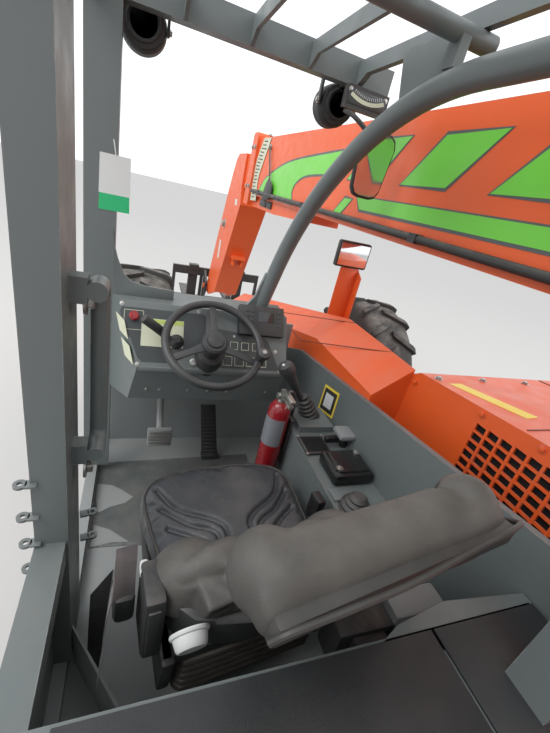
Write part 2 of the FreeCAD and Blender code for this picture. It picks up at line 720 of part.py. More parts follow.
def make_carriage():
    """Fork carriage: two bars and side plates, ears on the pin and a tilt lug."""
    face = (CARRIAGE_FACE_Y, CARRIAGE_FACE_Y + CARRIAGE_T)
    pieces = [box(-CARRIAGE_HALF, CARRIAGE_HALF, *face, CARRIAGE_LOW, CARRIAGE_LOW + CARRIAGE_BAR_H),
              box(-CARRIAGE_HALF, CARRIAGE_HALF, *face, CARRIAGE_TOP - CARRIAGE_BAR_H, CARRIAGE_TOP)]
    for x in (-CARRIAGE_HALF + 20, -215, 215, CARRIAGE_HALF - 20):
        pieces.append(box(x - 20, x + 20, *face, CARRIAGE_LOW, CARRIAGE_TOP))
    ear_in = HEAD_HALF + HEAD_BOSS_T + SWING_GAP
    ear_out = ear_in + CARRIAGE_EAR_T
    ear = side_plate([(CARRIAGE_Y - 75, CARRIAGE_Z - 60), (CARRIAGE_Y - 75, CARRIAGE_Z + 60),
                      (CARRIAGE_FACE_Y, CARRIAGE_TOP - 20), (CARRIAGE_FACE_Y, CARRIAGE_LOW + 20)],
                     ear_in, ear_out)
    ear = ear.cut(cross_pin(ear_in - 1, ear_out + 1, CARRIAGE_Y, CARRIAGE_Z, CARRIAGE_PIN_R + RUNNING))
    pieces += both_sides(ear)
    lug = side_plate([(CARRIAGE_FACE_Y, CARRIAGE_TOP - 90), (CARRIAGE_FACE_Y, CARRIAGE_TOP),
                      (TILT_CARRIAGE_Y + 20, TILT_CARRIAGE_Z + 55),
                      (TILT_CARRIAGE_Y - 45, TILT_CARRIAGE_Z + 45),
                      (TILT_CARRIAGE_Y - 50, TILT_CARRIAGE_Z - 45),
                      (TILT_CARRIAGE_Y + 30, TILT_CARRIAGE_Z - 90)],
                     TILT_LUG_IN, TILT_LUG_IN + TILT_LUG_T)
    pieces += both_sides(lug)
    return joined(pieces)


def make_forks():
    """Two forks: a tapered blade and a shank hooked on the carriage."""
    heel = CARRIAGE_FACE_Y + CARRIAGE_T + SEAT_GAP
    outline = [(heel, FORK_LOW), (HALF_LENGTH - 420, FORK_LOW), (HALF_LENGTH, FORK_LOW + 14),
               (HALF_LENGTH, FORK_LOW + 24), (HALF_LENGTH - 420, FORK_LOW + FORK_T),
               (heel + FORK_T + 20, FORK_LOW + FORK_T), (heel + FORK_T, FORK_LOW + FORK_T + 20),
               (heel + FORK_T, FORK_TOP), (heel - CARRIAGE_T - 2 * SEAT_GAP - 16, FORK_TOP),
               (heel - CARRIAGE_T - 2 * SEAT_GAP - 16, FORK_TOP - 60),
               (heel - CARRIAGE_T - 2 * SEAT_GAP, FORK_TOP - 60),
               (heel - CARRIAGE_T - 2 * SEAT_GAP, CARRIAGE_TOP + SEAT_GAP), (heel, CARRIAGE_TOP + SEAT_GAP)]
    return [side_plate(outline, x - FORK_W / 2, x + FORK_W / 2) for x in (-FORK_X, FORK_X)]


def cylinder_pair(base, head, sizes, half_width):
    """Barrel and rod of a hydraulic cylinder between two pin centres across the machine."""
    barrel_r, rod_r, eye_r, pin_r, barrel_end, rod_tail = sizes
    run = (head - base).normalize()
    length = (head - base).Length
    across = V(half_width, 0, 0)
    bore = Part.makeCylinder(rod_r + RUNNING, barrel_end, base + run * (eye_r + 35), run)
    tube = Part.makeCylinder(barrel_r, barrel_end - eye_r + 20, base + run * (eye_r - 20), run)
    gland = Part.makeCylinder(barrel_r + 6, 60, base + run * (barrel_end - 60), run)
    eye = bar(base - across, base + across, eye_r)
    barrel = joined([tube, gland, eye]).cut(bore)
    barrel = barrel.cut(bar(base - across * 2, base + across * 2, pin_r + RUNNING))
    stem = Part.makeCylinder(rod_r, length - rod_tail - eye_r + 12, base + run * rod_tail, run)
    eye = bar(head - across, head + across, eye_r)
    return barrel, joined([stem, eye])


def make_floor():
    """Cab floor with its sill, the front wall, the sloped rear wall and its left corner."""
    low = FLOOR_Z - FLOOR_T
    shelf_low = SHELF_Z - SHELF_T
    pieces = [box(FLOOR_LEFT, WALL_X, CAB_REAR_LOW, CAB_FRONT, low, FLOOR_Z),
              box(FLOOR_LEFT, WALL_X, CAB_FRONT - 10, CAB_FRONT, low, DASH_LOW_Z + 240),
              box(FLOOR_LEFT - 40, FLOOR_LEFT, CAB_REAR_LOW, CAB_FRONT, low - SILL_H, FLOOR_Z + SILL_H)]
    pieces.append(side_plate([(CAB_REAR_LOW, low), (CAB_REAR_LOW + 12, low), (SHELF_FRONT + 12, shelf_low),
                              (SHELF_FRONT, shelf_low)], CAB_LEFT + CAB_RAIL_T, WALL_X))
    corner = [(REAR_POST_X + SEAT_GAP, REAR_POST_Y - 50), (CAB_CORNER_X, CAB_REAR_LOW + 8),
              (CAB_CORNER_X - 1.5 * CAB_CORNER_T, CAB_REAR_LOW + 8),
              (REAR_POST_X + SEAT_GAP, REAR_POST_Y - 50 - 1.5 * CAB_CORNER_T)]
    pieces.append(flat_plate(corner, low, CAB_CORNER_TOP))
    sill = FLOOR_Z + SILL_H
    skin_top = SIDE_RAIL_TOP - SIDE_RAIL_H - SEAT_GAP
    skin_front = REAR_POST_Y - REAR_POST_HALF - SEAT_GAP
    skin_rear = CAB_REAR_LOW + (SHELF_FRONT - CAB_REAR_LOW) * (skin_top - low) / (shelf_low - low)
    skin = [(skin_front, sill), (CAB_REAR_LOW, sill), (skin_rear, skin_top), (skin_front, skin_top)]
    pieces.append(side_plate(skin, FLOOR_LEFT - 40, FLOOR_LEFT - 40 + CAB_SKIN_T))
    return joined(pieces)


def make_right_wall():
    """Cab wall beside the boom, with its sloping top edge."""
    outline = [(CAB_REAR_LOW, FLOOR_Z - FLOOR_T), (CAB_FRONT, FLOOR_Z - FLOOR_T),
               (CAB_FRONT, WALL_TOP_FRONT - 60),
               (WALL_TOP_FRONT_Y, WALL_TOP_FRONT), (WALL_TOP_REAR_Y, WALL_TOP_REAR),
               (SHELF_REAR, WALL_TOP_REAR), (SHELF_REAR, SHELF_Z - SHELF_T), (SHELF_FRONT, SHELF_Z - SHELF_T)]
    return side_plate(outline, WALL_X, WALL_X + WALL_T)


def make_console():
    """Right-hand console with the raised box under the joystick."""
    base = side_plate([(CONSOLE_REAR, FLOOR_Z), (CONSOLE_FRONT, FLOOR_Z), (CONSOLE_FRONT, CONSOLE_TOP - 60),
                       (CONSOLE_FRONT - 60, CONSOLE_TOP), (CONSOLE_REAR, CONSOLE_TOP)], CONSOLE_LEFT, WALL_X)
    top = box(STICK_X - 70, STICK_X + 75, STICK_Y - 90, STICK_Y + 45, CONSOLE_TOP, CONSOLE_TOP + 26)
    return joined([base, top])


def make_dash():
    """Dash housing under the windscreen line, its left corner cut to an angled cheek."""
    wall = CAB_FRONT - 10
    outline = [(DASH_BACK_Y, DASH_TOP), (DASH_FACE_Y, DASH_TOP - 10), (DASH_MID_Y, DASH_MID_Z),
               (DASH_LOW_Y, DASH_LOW_Z), (DASH_BACK_Y - 60, DASH_LOW_Z - 20), (wall, DASH_LOW_Z + 60),
               (wall, DASH_LOW_Z + 240), (DASH_BACK_Y, DASH_LOW_Z + 290)]
    housing = side_plate(outline, DASH_LEFT, DASH_RIGHT)
    corner = [(DASH_LEFT - 1, DASH_CHEEK_Y), (DASH_CHEEK_X, DASH_MID_Y), (DASH_CHEEK_X, DASH_MID_Y - 20),
              (DASH_LEFT - 1, DASH_MID_Y - 20)]
    return housing.cut(flat_plate(corner, DASH_LOW_Z - 100, DASH_TOP + 1))


def roof_rib(x, thick, y0, y1):
    """One roof rib, deeper where it meets the beams at its ends."""
    low = ROOF_TOP - ROOF_RIB_H
    half = ROOF_RIB_FLARE / 2
    outline = [(y0, ROOF_TOP - 6), (y1, ROOF_TOP - 6), (y1, ROOF_BEAM_LOW), (y1 - half, low - 18),
               (y1 - ROOF_RIB_FLARE, low), (y0 + ROOF_RIB_FLARE, low), (y0 + half, low - 18),
               (y0, ROOF_BEAM_LOW)]
    return side_plate(outline, x, x + thick)


def make_posts():
    """Roll-over frame: posts, roof beams and ribs, side rail and the bent tube on the right."""
    front = (FRONT_POST_Y - FRONT_POST_HALF, FRONT_POST_Y + FRONT_POST_HALF)
    rear = (REAR_POST_Y - REAR_POST_HALF, REAR_POST_Y + REAR_POST_HALF)
    rear_beam = ROOF_REAR + BACK_POST
    sill = FLOOR_Z + SILL_H
    rail = CAB_LEFT + CAB_RAIL_T
    pieces = [box(CAB_LEFT, FRONT_POST_X, *front, sill, ROOF_TOP),
              box(CAB_LEFT, REAR_POST_X, *rear, sill, ROOF_TOP),
              box(CAB_LEFT, ROOF_RIGHT, *front, ROOF_BEAM_LOW, ROOF_TOP),
              box(CAB_LEFT, rail, ROOF_REAR, FRONT_POST_Y, ROOF_BEAM_LOW, ROOF_TOP),
              box(CAB_LEFT, ROOF_RAIL_X, ROOF_REAR, rear_beam, ROOF_BEAM_LOW, ROOF_TOP),
              box(CAB_LEFT, rail, SIDE_RAIL_REAR, rear[0], SIDE_RAIL_TOP - SIDE_RAIL_H, SIDE_RAIL_TOP),
              box(CAB_LEFT, rail, SIDE_RAIL_REAR, SIDE_RAIL_REAR + CAB_RAIL_T, SIDE_RAIL_TOP,
                  SHELF_Z - SHELF_T)]
    for x in (CAB_LEFT, TUBE_TOP_X - BACK_POST / 2):
        pieces.append(box(x, x + BACK_POST, ROOF_REAR, rear_beam, SHELF_Z, ROOF_TOP))
    pitch = (ROOF_RAIL_X - rail) / (ROOF_RIBS + 1)
    for index in range(ROOF_RIBS):
        pieces.append(roof_rib(rail + pitch * (index + 1), ROOF_RIB_T, rear_beam, front[0]))
    pieces.append(roof_rib(ROOF_RAIL_X - ROOF_RAIL_T, ROOF_RAIL_T, rear_beam, front[0]))
    cross_z = ROOF_TOP - ROOF_RIB_H - CROSS_TUBE_R + 1
    pieces.append(cross_pin(CAB_LEFT + 10, ROOF_RAIL_X + 25, CROSS_TUBE_Y, cross_z, CROSS_TUBE_R))
    pieces.append(box(TUBE_TOP_X - 12, TUBE_TOP_X + 12, CROSS_TUBE_Y - 20, CROSS_TUBE_Y + 20,
                      TUBE_TOP_Z + TUBE_R - 6, cross_z))
    pieces.append(side_plate([(CROSS_TUBE_Y, TUBE_TOP_Z + TUBE_R - 8), (CROSS_TUBE_Y, ROOF_BEAM_LOW + 20),
                              (WEB_FRONT_Y, ROOF_BEAM_LOW + 20), (WEB_FRONT_Y, ROOF_BEAM_LOW),
                              (WEB_LOW_Y, TUBE_TOP_Z - 25)],
                             TUBE_TOP_X - WEB_HALF_T, TUBE_TOP_X + WEB_HALF_T))
    foot_z = DASH_TOP - 10
    foot_y = DASH_BACK_Y - 60
    path = [V(TUBE_FOOT_X, foot_y, foot_z), V(TUBE_TOP_X, TUBE_BEND_Y, TUBE_TOP_Z),
            V(TUBE_TOP_X, ROOF_REAR + 20, TUBE_TOP_Z)]
    pieces.append(bent_tube(path, TUBE_R, TUBE_BEND_R))
    outline = [(-GUSSET_W, 0), (0, 0), (25, GUSSET_H), (-5, GUSSET_H), (-32, 60)]
    corners = [V(TUBE_FOOT_X + x, foot_y, foot_z + z) for x, z in outline]
    gusset = Part.Face(Part.makePolygon(corners + corners[:1]))
    pieces.append(gusset.extrude(V(0, -GUSSET_T, 0)))
    return joined(pieces).cut(make_dash())


def make_shelf():
    """Deck behind the seat, over the rear wheel."""
    return box(CAB_LEFT, WALL_X, SHELF_REAR, SHELF_FRONT, SHELF_Z - SHELF_T, SHELF_Z)


def make_step():
    """Boarding step below the cab's left sill."""
    sill = FLOOR_Z - FLOOR_T - SILL_H
    half = STEP_PLATE_T / 2
    pieces = [box(STEP_OUT, STEP_OUT + STEP_W, STEP_REAR + half, STEP_FRONT - half,
                  STEP_LOW, STEP_LOW + STEP_T)]
    for y in (STEP_REAR, STEP_FRONT):
        pieces.append(box(STEP_OUT, STEP_OUT + 80, y - half, y + half, STEP_LOW, sill))
    return joined(pieces)


def seat_part(shape):
    """A seat piece drawn about the seat's middle, turned and set in its place."""
    turned = shape.copy()
    turned.rotate(V(0, 0, 0), V(0, 0, 1), SEAT_TURN)
    turned.translate(V(SEAT_X, SEAT_Y, 0))
    return turned


def make_seat_stand():
    """Suspension, its lower box, the pan and the shell behind the cushion."""
    half = SEAT_BASE_HALF
    pieces = [box(-half + 25, half - 25, -30, SEAT_BASE_FRONT - 25, FLOOR_Z, SUSPENSION_LOW),
              box(-half, half, SEAT_BASE_REAR, SEAT_BASE_FRONT, SUSPENSION_LOW, CUSHION_LOW - 30),
              box(-SEAT_HALF + 10, SEAT_HALF - 10, SEAT_BASE_REAR - 15, SEAT_FRONT - 30,
                  CUSHION_LOW - 30, CUSHION_LOW)]
    return seat_part(joined(pieces))


def make_cushion():
    """Seat cushion, closed and crowned in the render."""
    cushion = box(-SEAT_HALF, SEAT_HALF, -SEAT_BACK + SEAT_GAP, SEAT_FRONT, CUSHION_LOW + SEAT_GAP, SEAT_TOP)
    rim = [e for e in cushion.Edges if e.CenterOfMass.z > SEAT_TOP - 1]
    upright = [e for e in cushion.Edges if abs(e.CenterOfMass.z - (CUSHION_LOW + SEAT_TOP) / 2) < 5
               and e.CenterOfMass.y > SEAT_FRONT - 1]
    return seat_part(cushion.makeFillet(38, rim + upright))


def make_back():
    """Backrest, leaning back above a more upright foot, with a wing each side low down."""
    outline = [(-75, SEAT_TOP - 40), (-75, SEAT_TOP), (-88, 1340), (-120, 1415), (-305, 1712), (-328, 1738),
               (-372, BACK_TOP), (-396, 1728), (-388, 1700), (-215, 1400), (-178, 1310),
               (-165, SEAT_TOP - 40)]
    pieces = [side_plate(outline, -SEAT_HALF, SEAT_HALF)]
    wing = [(-75, SEAT_TOP + 15), (-38, SEAT_TOP + 25), (-22, 1310), (-30, 1380), (-70, 1425),
            (-120, 1415), (-100, 1340)]
    upper = [(-150, 1463), (-118, 1488), (-150, 1560), (-240, 1690), (-290, 1722), (-305, 1712)]
    for side in (-1, 1):
        pieces.append(side_plate(wing, side * WING_HALF, side * (WING_HALF - WING_W)))
        pieces.append(side_plate(upper, side * SEAT_HALF, side * (SEAT_HALF - WING_W)))
    return seat_part(joined(pieces))


def wheel_frame():
    """Hub centre and the column's upward direction."""
    lean = math.radians(WHEEL_LEAN)
    return V(HUB_X, HUB_Y, HUB_Z), V(0, -math.sin(lean), math.cos(lean))


def make_column():
    """Steering column from the dash up to the wheel's hub."""
    hub, up = wheel_frame()
    top = hub - up * 26
    column = joined([bar(top - up * 170, top, COLUMN_R), bar(top - up * 170, top - up * 40, COLUMN_R + 22)])
    return column.cut(make_dash())


def make_steering_wheel():
    """Steering wheel: rim, three spokes, hub and spinner knob."""
    hub, up = wheel_frame()
    pieces = [Part.makeTorus(WHEEL_R - WHEEL_TUBE_R, WHEEL_TUBE_R, hub, up),
              bar(hub - up * (26 - SEAT_GAP), hub + up * 22, 42)]
    side = V(1, 0, 0)
    ahead = up.cross(side)
    for degrees in (90, 205, 335):
        turn = math.radians(degrees)
        out = side * math.cos(turn) + ahead * math.sin(turn)
        pieces.append(bar(hub + out * 30, hub + out * (WHEEL_R - WHEEL_TUBE_R), 10))
    knob = hub + side * (WHEEL_R - WHEEL_TUBE_R)
    pieces.append(bar(knob, knob + up * 50, 17))
    return joined(pieces)


def make_pedals():
    """Brake and accelerator on arms from the front wall."""
    pad = box(BRAKE_X - BRAKE_W / 2, BRAKE_X + BRAKE_W / 2, PEDAL_Y - 10, PEDAL_Y + 5, BRAKE_LOW, BRAKE_TOP)
    arm = bar(V(BRAKE_X, PEDAL_Y, BRAKE_TOP - 20), V(BRAKE_X, CAB_FRONT - 12, BRAKE_TOP + 40), 10)
    brake = joined([pad, arm])
    half = PEDAL_T / 2
    plate = box(GAS_X - GAS_W / 2, GAS_X + GAS_W / 2, GAS_Y - half, GAS_Y + half, GAS_LOW, GAS_TOP)
    middle = (GAS_LOW + GAS_TOP) / 2 - 2.5
    gas = joined([tilted(plate, V(GAS_X, GAS_Y, GAS_LOW), V(1, 0, 0), -GAS_LEAN),
                  bar(V(GAS_X, GAS_Y + 34, middle), V(GAS_X, CAB_FRONT - 10, middle), 9)])
    return [brake, gas]


def make_joystick():
    """Joystick with its boot, and its stalk and grip leaning to the left."""
    base = V(STICK_X, STICK_Y, CONSOLE_TOP + 26)
    lean = V(-math.sin(math.radians(STICK_LEAN)), 0, math.cos(math.radians(STICK_LEAN)))
    boot = Part.makeCone(STICK_BOOT_R, 15, 55, base)
    stalk = bar(base + V(0, 0, 35), base + lean * (STICK_LEN - 80), 9)
    grip = Part.makeCone(17, STICK_GRIP_R, 120, base + lean * (STICK_LEN - 120), lean)
    return joined([boot, stalk, grip])


def make_extinguisher():
    """Small fire extinguisher on a bracket at the console's left side."""
    body = Part.makeCylinder(BOTTLE_R, BOTTLE_SHOULDER - BOTTLE_LOW, V(BOTTLE_X, BOTTLE_Y, BOTTLE_LOW))
    shoulder = Part.makeCone(BOTTLE_R, 18, 34, V(BOTTLE_X, BOTTLE_Y, BOTTLE_SHOULDER))
    valve = Part.makeCylinder(18, BOTTLE_TOP - BOTTLE_SHOULDER, V(BOTTLE_X, BOTTLE_Y, BOTTLE_SHOULDER))
    clamp = box(BOTTLE_X, CONSOLE_LEFT, BOTTLE_Y - 20, BOTTLE_Y + 20, BOTTLE_LOW + 90, BOTTLE_LOW + 200)
    return joined([body, shoulder, valve, clamp])


def make_deck():
    """Slanted deck between the cab and the boom, sloping down to its nose."""
    left = WALL_X + WALL_T + 2
    fall = (DECK_NOSE_Z - DECK_LIP_Z) / (DECK_NOSE_Y - (-800))

    def section(y, drop):
        lip = DECK_LIP_Z - drop
        wall = DECK_WALL_Z - drop
        points = [V(left, y, DECK_LOW), V(LIP_X, y, DECK_LOW), V(LIP_X, y, lip), V(left, y, wall)]
        return Part.makePolygon(points + points[:1])
    level = section(DECK_REAR, 0)
    bend = section(-800, 0)
    nose = section(DECK_NOSE_Y, DECK_LIP_Z - DECK_NOSE_Z)
    rear_part = Part.makeLoft([level, bend], True, True)
    front_part = Part.makeLoft([bend, nose], True, True)
    return joined([rear_part, front_part])


def make_hood():
    """Engine cover: a hollow shell with its fold, side grille and the pod below."""
    rise = (HOOD_REAR_Z - HOOD_FOLD_Z) / (HOOD_FOLD_Y - HOOD_REAR)
    outline = [(HOOD_FRONT, HOOD_SHELF_Z), (HOOD_FRONT, HOOD_FOLD_Z - 150), (HOOD_FOLD_Y, HOOD_FOLD_Z),
               (HOOD_REAR, HOOD_REAR_Z), (HOOD_REAR, HOOD_SHELF_Z)]
    shell = side_plate(outline, LIP_X, HOOD_RIGHT)
    t = SHEET
    hollow = [(HOOD_FRONT - t, HOOD_SHELF_Z - 1), (HOOD_FRONT - t, HOOD_FOLD_Z - 156),
              (HOOD_FOLD_Y, HOOD_FOLD_Z - t), (HOOD_REAR + t, HOOD_REAR_Z - t),
              (HOOD_REAR + t, HOOD_SHELF_Z - 1)]
    shell = shell.cut(side_plate(hollow, LIP_X + t, HOOD_RIGHT - t))
    holes = []
    for column in range(GRILLE_COLUMNS):
        for row in range(GRILLE_ROWS):
            y = GRILLE_Y - GRILLE_PITCH_Y * column
            z = GRILLE_Z - GRILLE_PITCH_Z * row + GRILLE_PITCH_Y * column * rise
            holes.append(box(LIP_X - 2, LIP_X + t + 2, y - GRILLE_HOLE_W, y, z - GRILLE_HOLE_H, z))
    shell = shell.cut(Part.makeCompound(holes))
    pod = box(POD_LEFT, HOOD_RIGHT, POD_REAR, HOOD_FRONT, POD_LOW, HOOD_SHELF_Z)
    pod = pod.cut(box(POD_LEFT + t, HOOD_RIGHT - t, POD_REAR + t, HOOD_FRONT - t,
                      POD_LOW + t, HOOD_SHELF_Z + 1))
    post = box(LIP_X, LIP_X + t, DECK_REAR, HOOD_REAR, FRAME_TOP + 150, HOOD_SHELF_Z)
    return joined([shell, pod, post])


def make_engine():
    """Engine and radiator as one plain block inside the pod."""
    return box(POD_LEFT + 40, HOOD_RIGHT - 260, POD_REAR + 40, HOOD_FRONT - 60,
               POD_LOW + SHEET, HOOD_SHELF_Z + 40)


def make_ballast():
    """Counterweight across the rear, notched round the frame plates."""
    outline = [(-BALLAST_HALF, BALLAST_FRONT + 60), (-BALLAST_HALF + 60, BALLAST_REAR + 60),
               (-BALLAST_HALF + 160, BALLAST_REAR), (BALLAST_HALF - 160, BALLAST_REAR),
               (BALLAST_HALF - 60, BALLAST_REAR + 60), (BALLAST_HALF, BALLAST_FRONT + 60)]
    block = flat_plate(outline, BALLAST_LOW, BALLAST_TOP)
    block = block.cut(box(-FRAME_OUT, FRAME_OUT, FRAME_REAR, 0, 0, 3000))
    holes = [Part.makeCylinder(HITCH_R, HITCH_DEPTH,
                               V(x * HITCH_X / 2, BALLAST_REAR, HITCH_Z + z * HITCH_SPAN / 2),
                               V(0, 1, 0)) for x in (-1, 1) for z in (-1, 1)]
    return block.cut(Part.makeCompound(holes))


def make_tank():
    """Fuel and oil tank on the right, ahead of the engine pod."""
    tank = box(FRAME_OUT + 20, TANK_RIGHT, TANK_REAR, TANK_FRONT, TANK_LOW, TANK_TOP)
    return tank.makeFillet(40, [e for e in tank.Edges if abs(e.CenterOfMass.x - TANK_RIGHT) < 1])


def make_lights():
    """Round work lights on brackets before the roof's front beam and behind its rear one."""
    lights = []
    half = LIGHT_LEN / 2
    for x, ahead, rise in LIGHTS:
        y = FRONT_POST_Y + FRONT_POST_HALF if ahead > 0 else ROOF_REAR
        z = LIGHT_Z + rise
        rear = V(x, y + ahead * 12, z)
        dome = Part.makeCone(LIGHT_R - 22, LIGHT_R, half, rear, V(0, ahead, 0))
        rim = Part.makeCylinder(LIGHT_R, half, rear + V(0, ahead * half, 0), V(0, ahead, 0))
        bracket = box(x - 14, x + 14, y, y + ahead * 60, z + LIGHT_R - 20, ROOF_TOP - 10)
        lights.append(joined([dome, rim, bracket]))
    return lights


def make_mirrors():
    """Mirror under the roof's right end and the one on a bracket at the deck's flank."""
    y = CAB_MIRROR_Y
    half = CAB_MIRROR_W / 2
    arm_y = FRONT_POST_Y - FRONT_POST_HALF - 11
    arm = bar(V(TUBE_TOP_X + 21, arm_y, GAUGE_LOW - 0.87 * MIRROR_ARM_R),
              V(CAB_MIRROR_X - 26, y + 4, CAB_MIRROR_TOP - 29), MIRROR_ARM_R)
    head = box(CAB_MIRROR_X - half, CAB_MIRROR_X + half, y - 10, y + 10,
               CAB_MIRROR_TOP - CAB_MIRROR_H, CAB_MIRROR_TOP)
    y = DECK_MIRROR_Y
    edge = LIP_X + BRACKET_W
    half = DECK_MIRROR_W / 2
    plate = box(LIP_X, edge, y - 5, y + 5, BRACKET_LOW, DECK_MIRROR_LOW + 10)
    flange = box(edge - BRACKET_T, edge, y - 45, y, BRACKET_LOW, DECK_MIRROR_LOW)
    foot = box(LIP_X, LIP_X + BRACKET_T, y - 45, y, BRACKET_LOW, DECK_LIP_Z - 80)
    glass = box(DECK_MIRROR_X - half, DECK_MIRROR_X + half, y - 15, y + 15,
                DECK_MIRROR_LOW, DECK_MIRROR_LOW + DECK_MIRROR_H)
    return [joined([arm, head]), joined([plate, flange, foot, glass])]


def make_gauge():
    """Slope gauge on the right end of the roof's front beam."""
    back = FRONT_POST_Y - FRONT_POST_HALF
    return box(GAUGE_LEFT, GAUGE_RIGHT, back - GAUGE_T, back, GAUGE_LOW, ROOF_BEAM_LOW - SEAT_GAP)


def make_handle():
    """Grab handle: a tube with two legs, each on a pad on the rear-left post."""
    leg_y = HANDLE_Y - HANDLE_LEG
    path = [V(HANDLE_X, leg_y, HANDLE_TOP), V(HANDLE_X, HANDLE_Y, HANDLE_TOP),
            V(HANDLE_X, HANDLE_Y, HANDLE_LOW), V(HANDLE_X, leg_y, HANDLE_LOW)]
    pieces = [bent_tube(path, HANDLE_R, 30)]
    for z in (HANDLE_LOW, HANDLE_TOP):
        pieces.append(box(REAR_POST_X, HANDLE_X - HANDLE_R + 3, leg_y, leg_y + 36, z - 25, z + 25))
    return joined(pieces)


def main():
    os.makedirs("parts", exist_ok=True)
    side = frame_side()
    save("frame_right", side)
    save("frame_left", side.mirror(V(0, 0, 0), V(1, 0, 0)))
    save("frame_ties", make_frame_ties())
    save("frame_ends", make_frame_ends())
    save("side_beams", make_side_beams())
    save("axles", [make_axle(FRONT_AXLE_Y), make_axle(REAR_AXLE_Y)])
    tread = make_tread()
    for name, side, axle_y in CORNERS:
        save("knuckle_" + name, make_knuckle(side, axle_y))
        save("rim_" + name, make_rim(side, axle_y))
        save("tyre_" + name, make_tyre(tread, side, axle_y))
    save("boom_outer", make_boom_outer())
    save("boom_pipe", make_boom_pipes())
    save("boom_inner", make_boom_inner())
    save("boom_head", make_boom_head())
    save("carriage", make_carriage())
    save("forks", make_forks())
    lift = cylinder_pair(V(0, LIFT_FRAME_Y, LIFT_FRAME_Z), V(0, LIFT_BOOM_Y, LIFT_BOOM_Z),
                         (LIFT_BARREL_R, LIFT_ROD_R, LIFT_EYE_R, LIFT_PIN_R, LIFT_BARREL_END, LIFT_ROD_TAIL),
                         LUG_IN - 6)
    save("lift_barrel", lift[0])
    save("lift_rod", lift[1])
    tilt = cylinder_pair(V(0, TILT_HEAD_Y, TILT_HEAD_Z), V(0, TILT_CARRIAGE_Y, TILT_CARRIAGE_Z),
                         (TILT_BARREL_R, TILT_ROD_R, TILT_EYE_R, TILT_PIN_R, TILT_BARREL_END, TILT_ROD_TAIL),
                         TILT_LUG_IN - 6)
    save("tilt_barrel", tilt[0])
    save("tilt_rod", tilt[1])
    save("cab_floor", make_floor())
    save("cab_wall", make_right_wall())
    save("console", make_console())
    save("dash", make_dash())
    save("cab_frame", make_posts())
    save("rear_shelf", make_shelf())
    save("step", make_step())
    save("seat_base", make_seat_stand())
    save("seat_cushion", make_cushion())
    save("seat_back", make_back())
    save("steering_column", make_column())
    save("steering_wheel", make_steering_wheel())
    save("pedals", make_pedals())
    save("joystick", make_joystick())
    save("extinguisher", make_extinguisher())
    save("deck", make_deck())
    save("engine_hood", make_hood())
    save("engine", make_engine())
    save("counterweight", make_ballast())
    save("tank", make_tank())
    save("work_lights", make_lights())
    save("mirrors", make_mirrors())
    save("slope_gauge", make_gauge())
    save("grab_handle", make_handle())


main()
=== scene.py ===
import json
import math

import bpy
import numpy as np
from mathutils import Matrix, Vector


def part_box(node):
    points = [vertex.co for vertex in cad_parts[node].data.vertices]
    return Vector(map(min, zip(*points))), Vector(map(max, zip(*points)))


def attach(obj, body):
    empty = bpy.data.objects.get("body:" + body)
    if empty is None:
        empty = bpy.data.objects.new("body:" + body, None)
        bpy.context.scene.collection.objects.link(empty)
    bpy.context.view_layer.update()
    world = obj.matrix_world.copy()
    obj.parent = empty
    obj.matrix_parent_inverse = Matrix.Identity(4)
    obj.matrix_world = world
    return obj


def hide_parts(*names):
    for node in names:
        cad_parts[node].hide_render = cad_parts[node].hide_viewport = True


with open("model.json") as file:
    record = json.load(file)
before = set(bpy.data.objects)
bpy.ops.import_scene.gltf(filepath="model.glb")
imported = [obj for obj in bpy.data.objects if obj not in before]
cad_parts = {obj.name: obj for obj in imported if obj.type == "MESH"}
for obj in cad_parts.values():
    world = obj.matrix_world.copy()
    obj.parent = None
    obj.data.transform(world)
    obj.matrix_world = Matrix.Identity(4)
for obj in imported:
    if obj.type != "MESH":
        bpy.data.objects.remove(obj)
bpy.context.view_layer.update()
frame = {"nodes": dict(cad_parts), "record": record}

# Camera, at the photograph's place over the seat
VIEW_PLACE = (-1.07, -2.25, 2.10)
VIEW_HEADING = 23.5
VIEW_DOWN = 24.8
VIEW_ROLL = 13.7
FOCUS_PX = 370.4
PHOTO_HEIGHT_PX = 733
SENSOR = 24.0

# Boom, from the frame
BOOM_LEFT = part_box("boom_pipe")[1].x
BOOM_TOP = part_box("boom_outer")[1].z
BOOM_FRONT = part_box("boom_outer")[1].y


def fresh():
    """Object mode with nothing selected."""
    if bpy.context.mode != "OBJECT":
        bpy.ops.object.mode_set(mode="OBJECT")
    bpy.ops.object.select_all(action="DESELECT")


def only(piece):
    """One piece selected and active."""
    fresh()
    piece.select_set(True)
    bpy.context.view_layer.objects.active = piece


def placed(piece):
    """Moves a piece's place, turn and size into its mesh."""
    only(piece)
    bpy.ops.object.transform_apply(location=True, rotation=True, scale=True)
    return piece


def use(piece, kind, **settings):
    """Adds a modifier with its settings and applies it."""
    only(piece)
    bpy.ops.object.modifier_add(type=kind)
    modifier = piece.modifiers[-1]
    for key, value in settings.items():
        setattr(modifier, key, value)
    bpy.ops.object.modifier_apply(modifier=modifier.name)
    return piece


def rounded(piece, width, segments=2, angle=35):
    """Rounds a piece's sharp edges."""
    return use(piece, "BEVEL", width=width, segments=segments, limit_method="ANGLE",
               angle_limit=math.radians(angle))


def block(name, low, high, bevel=0.003):
    """A rounded block between two corners."""
    fresh()
    low, high = Vector(low), Vector(high)
    bpy.ops.mesh.primitive_cube_add(size=1, location=(low + high) / 2)
    piece = bpy.context.object
    piece.name = name
    piece.scale = high - low
    placed(piece)
    return rounded(piece, bevel) if bevel else piece


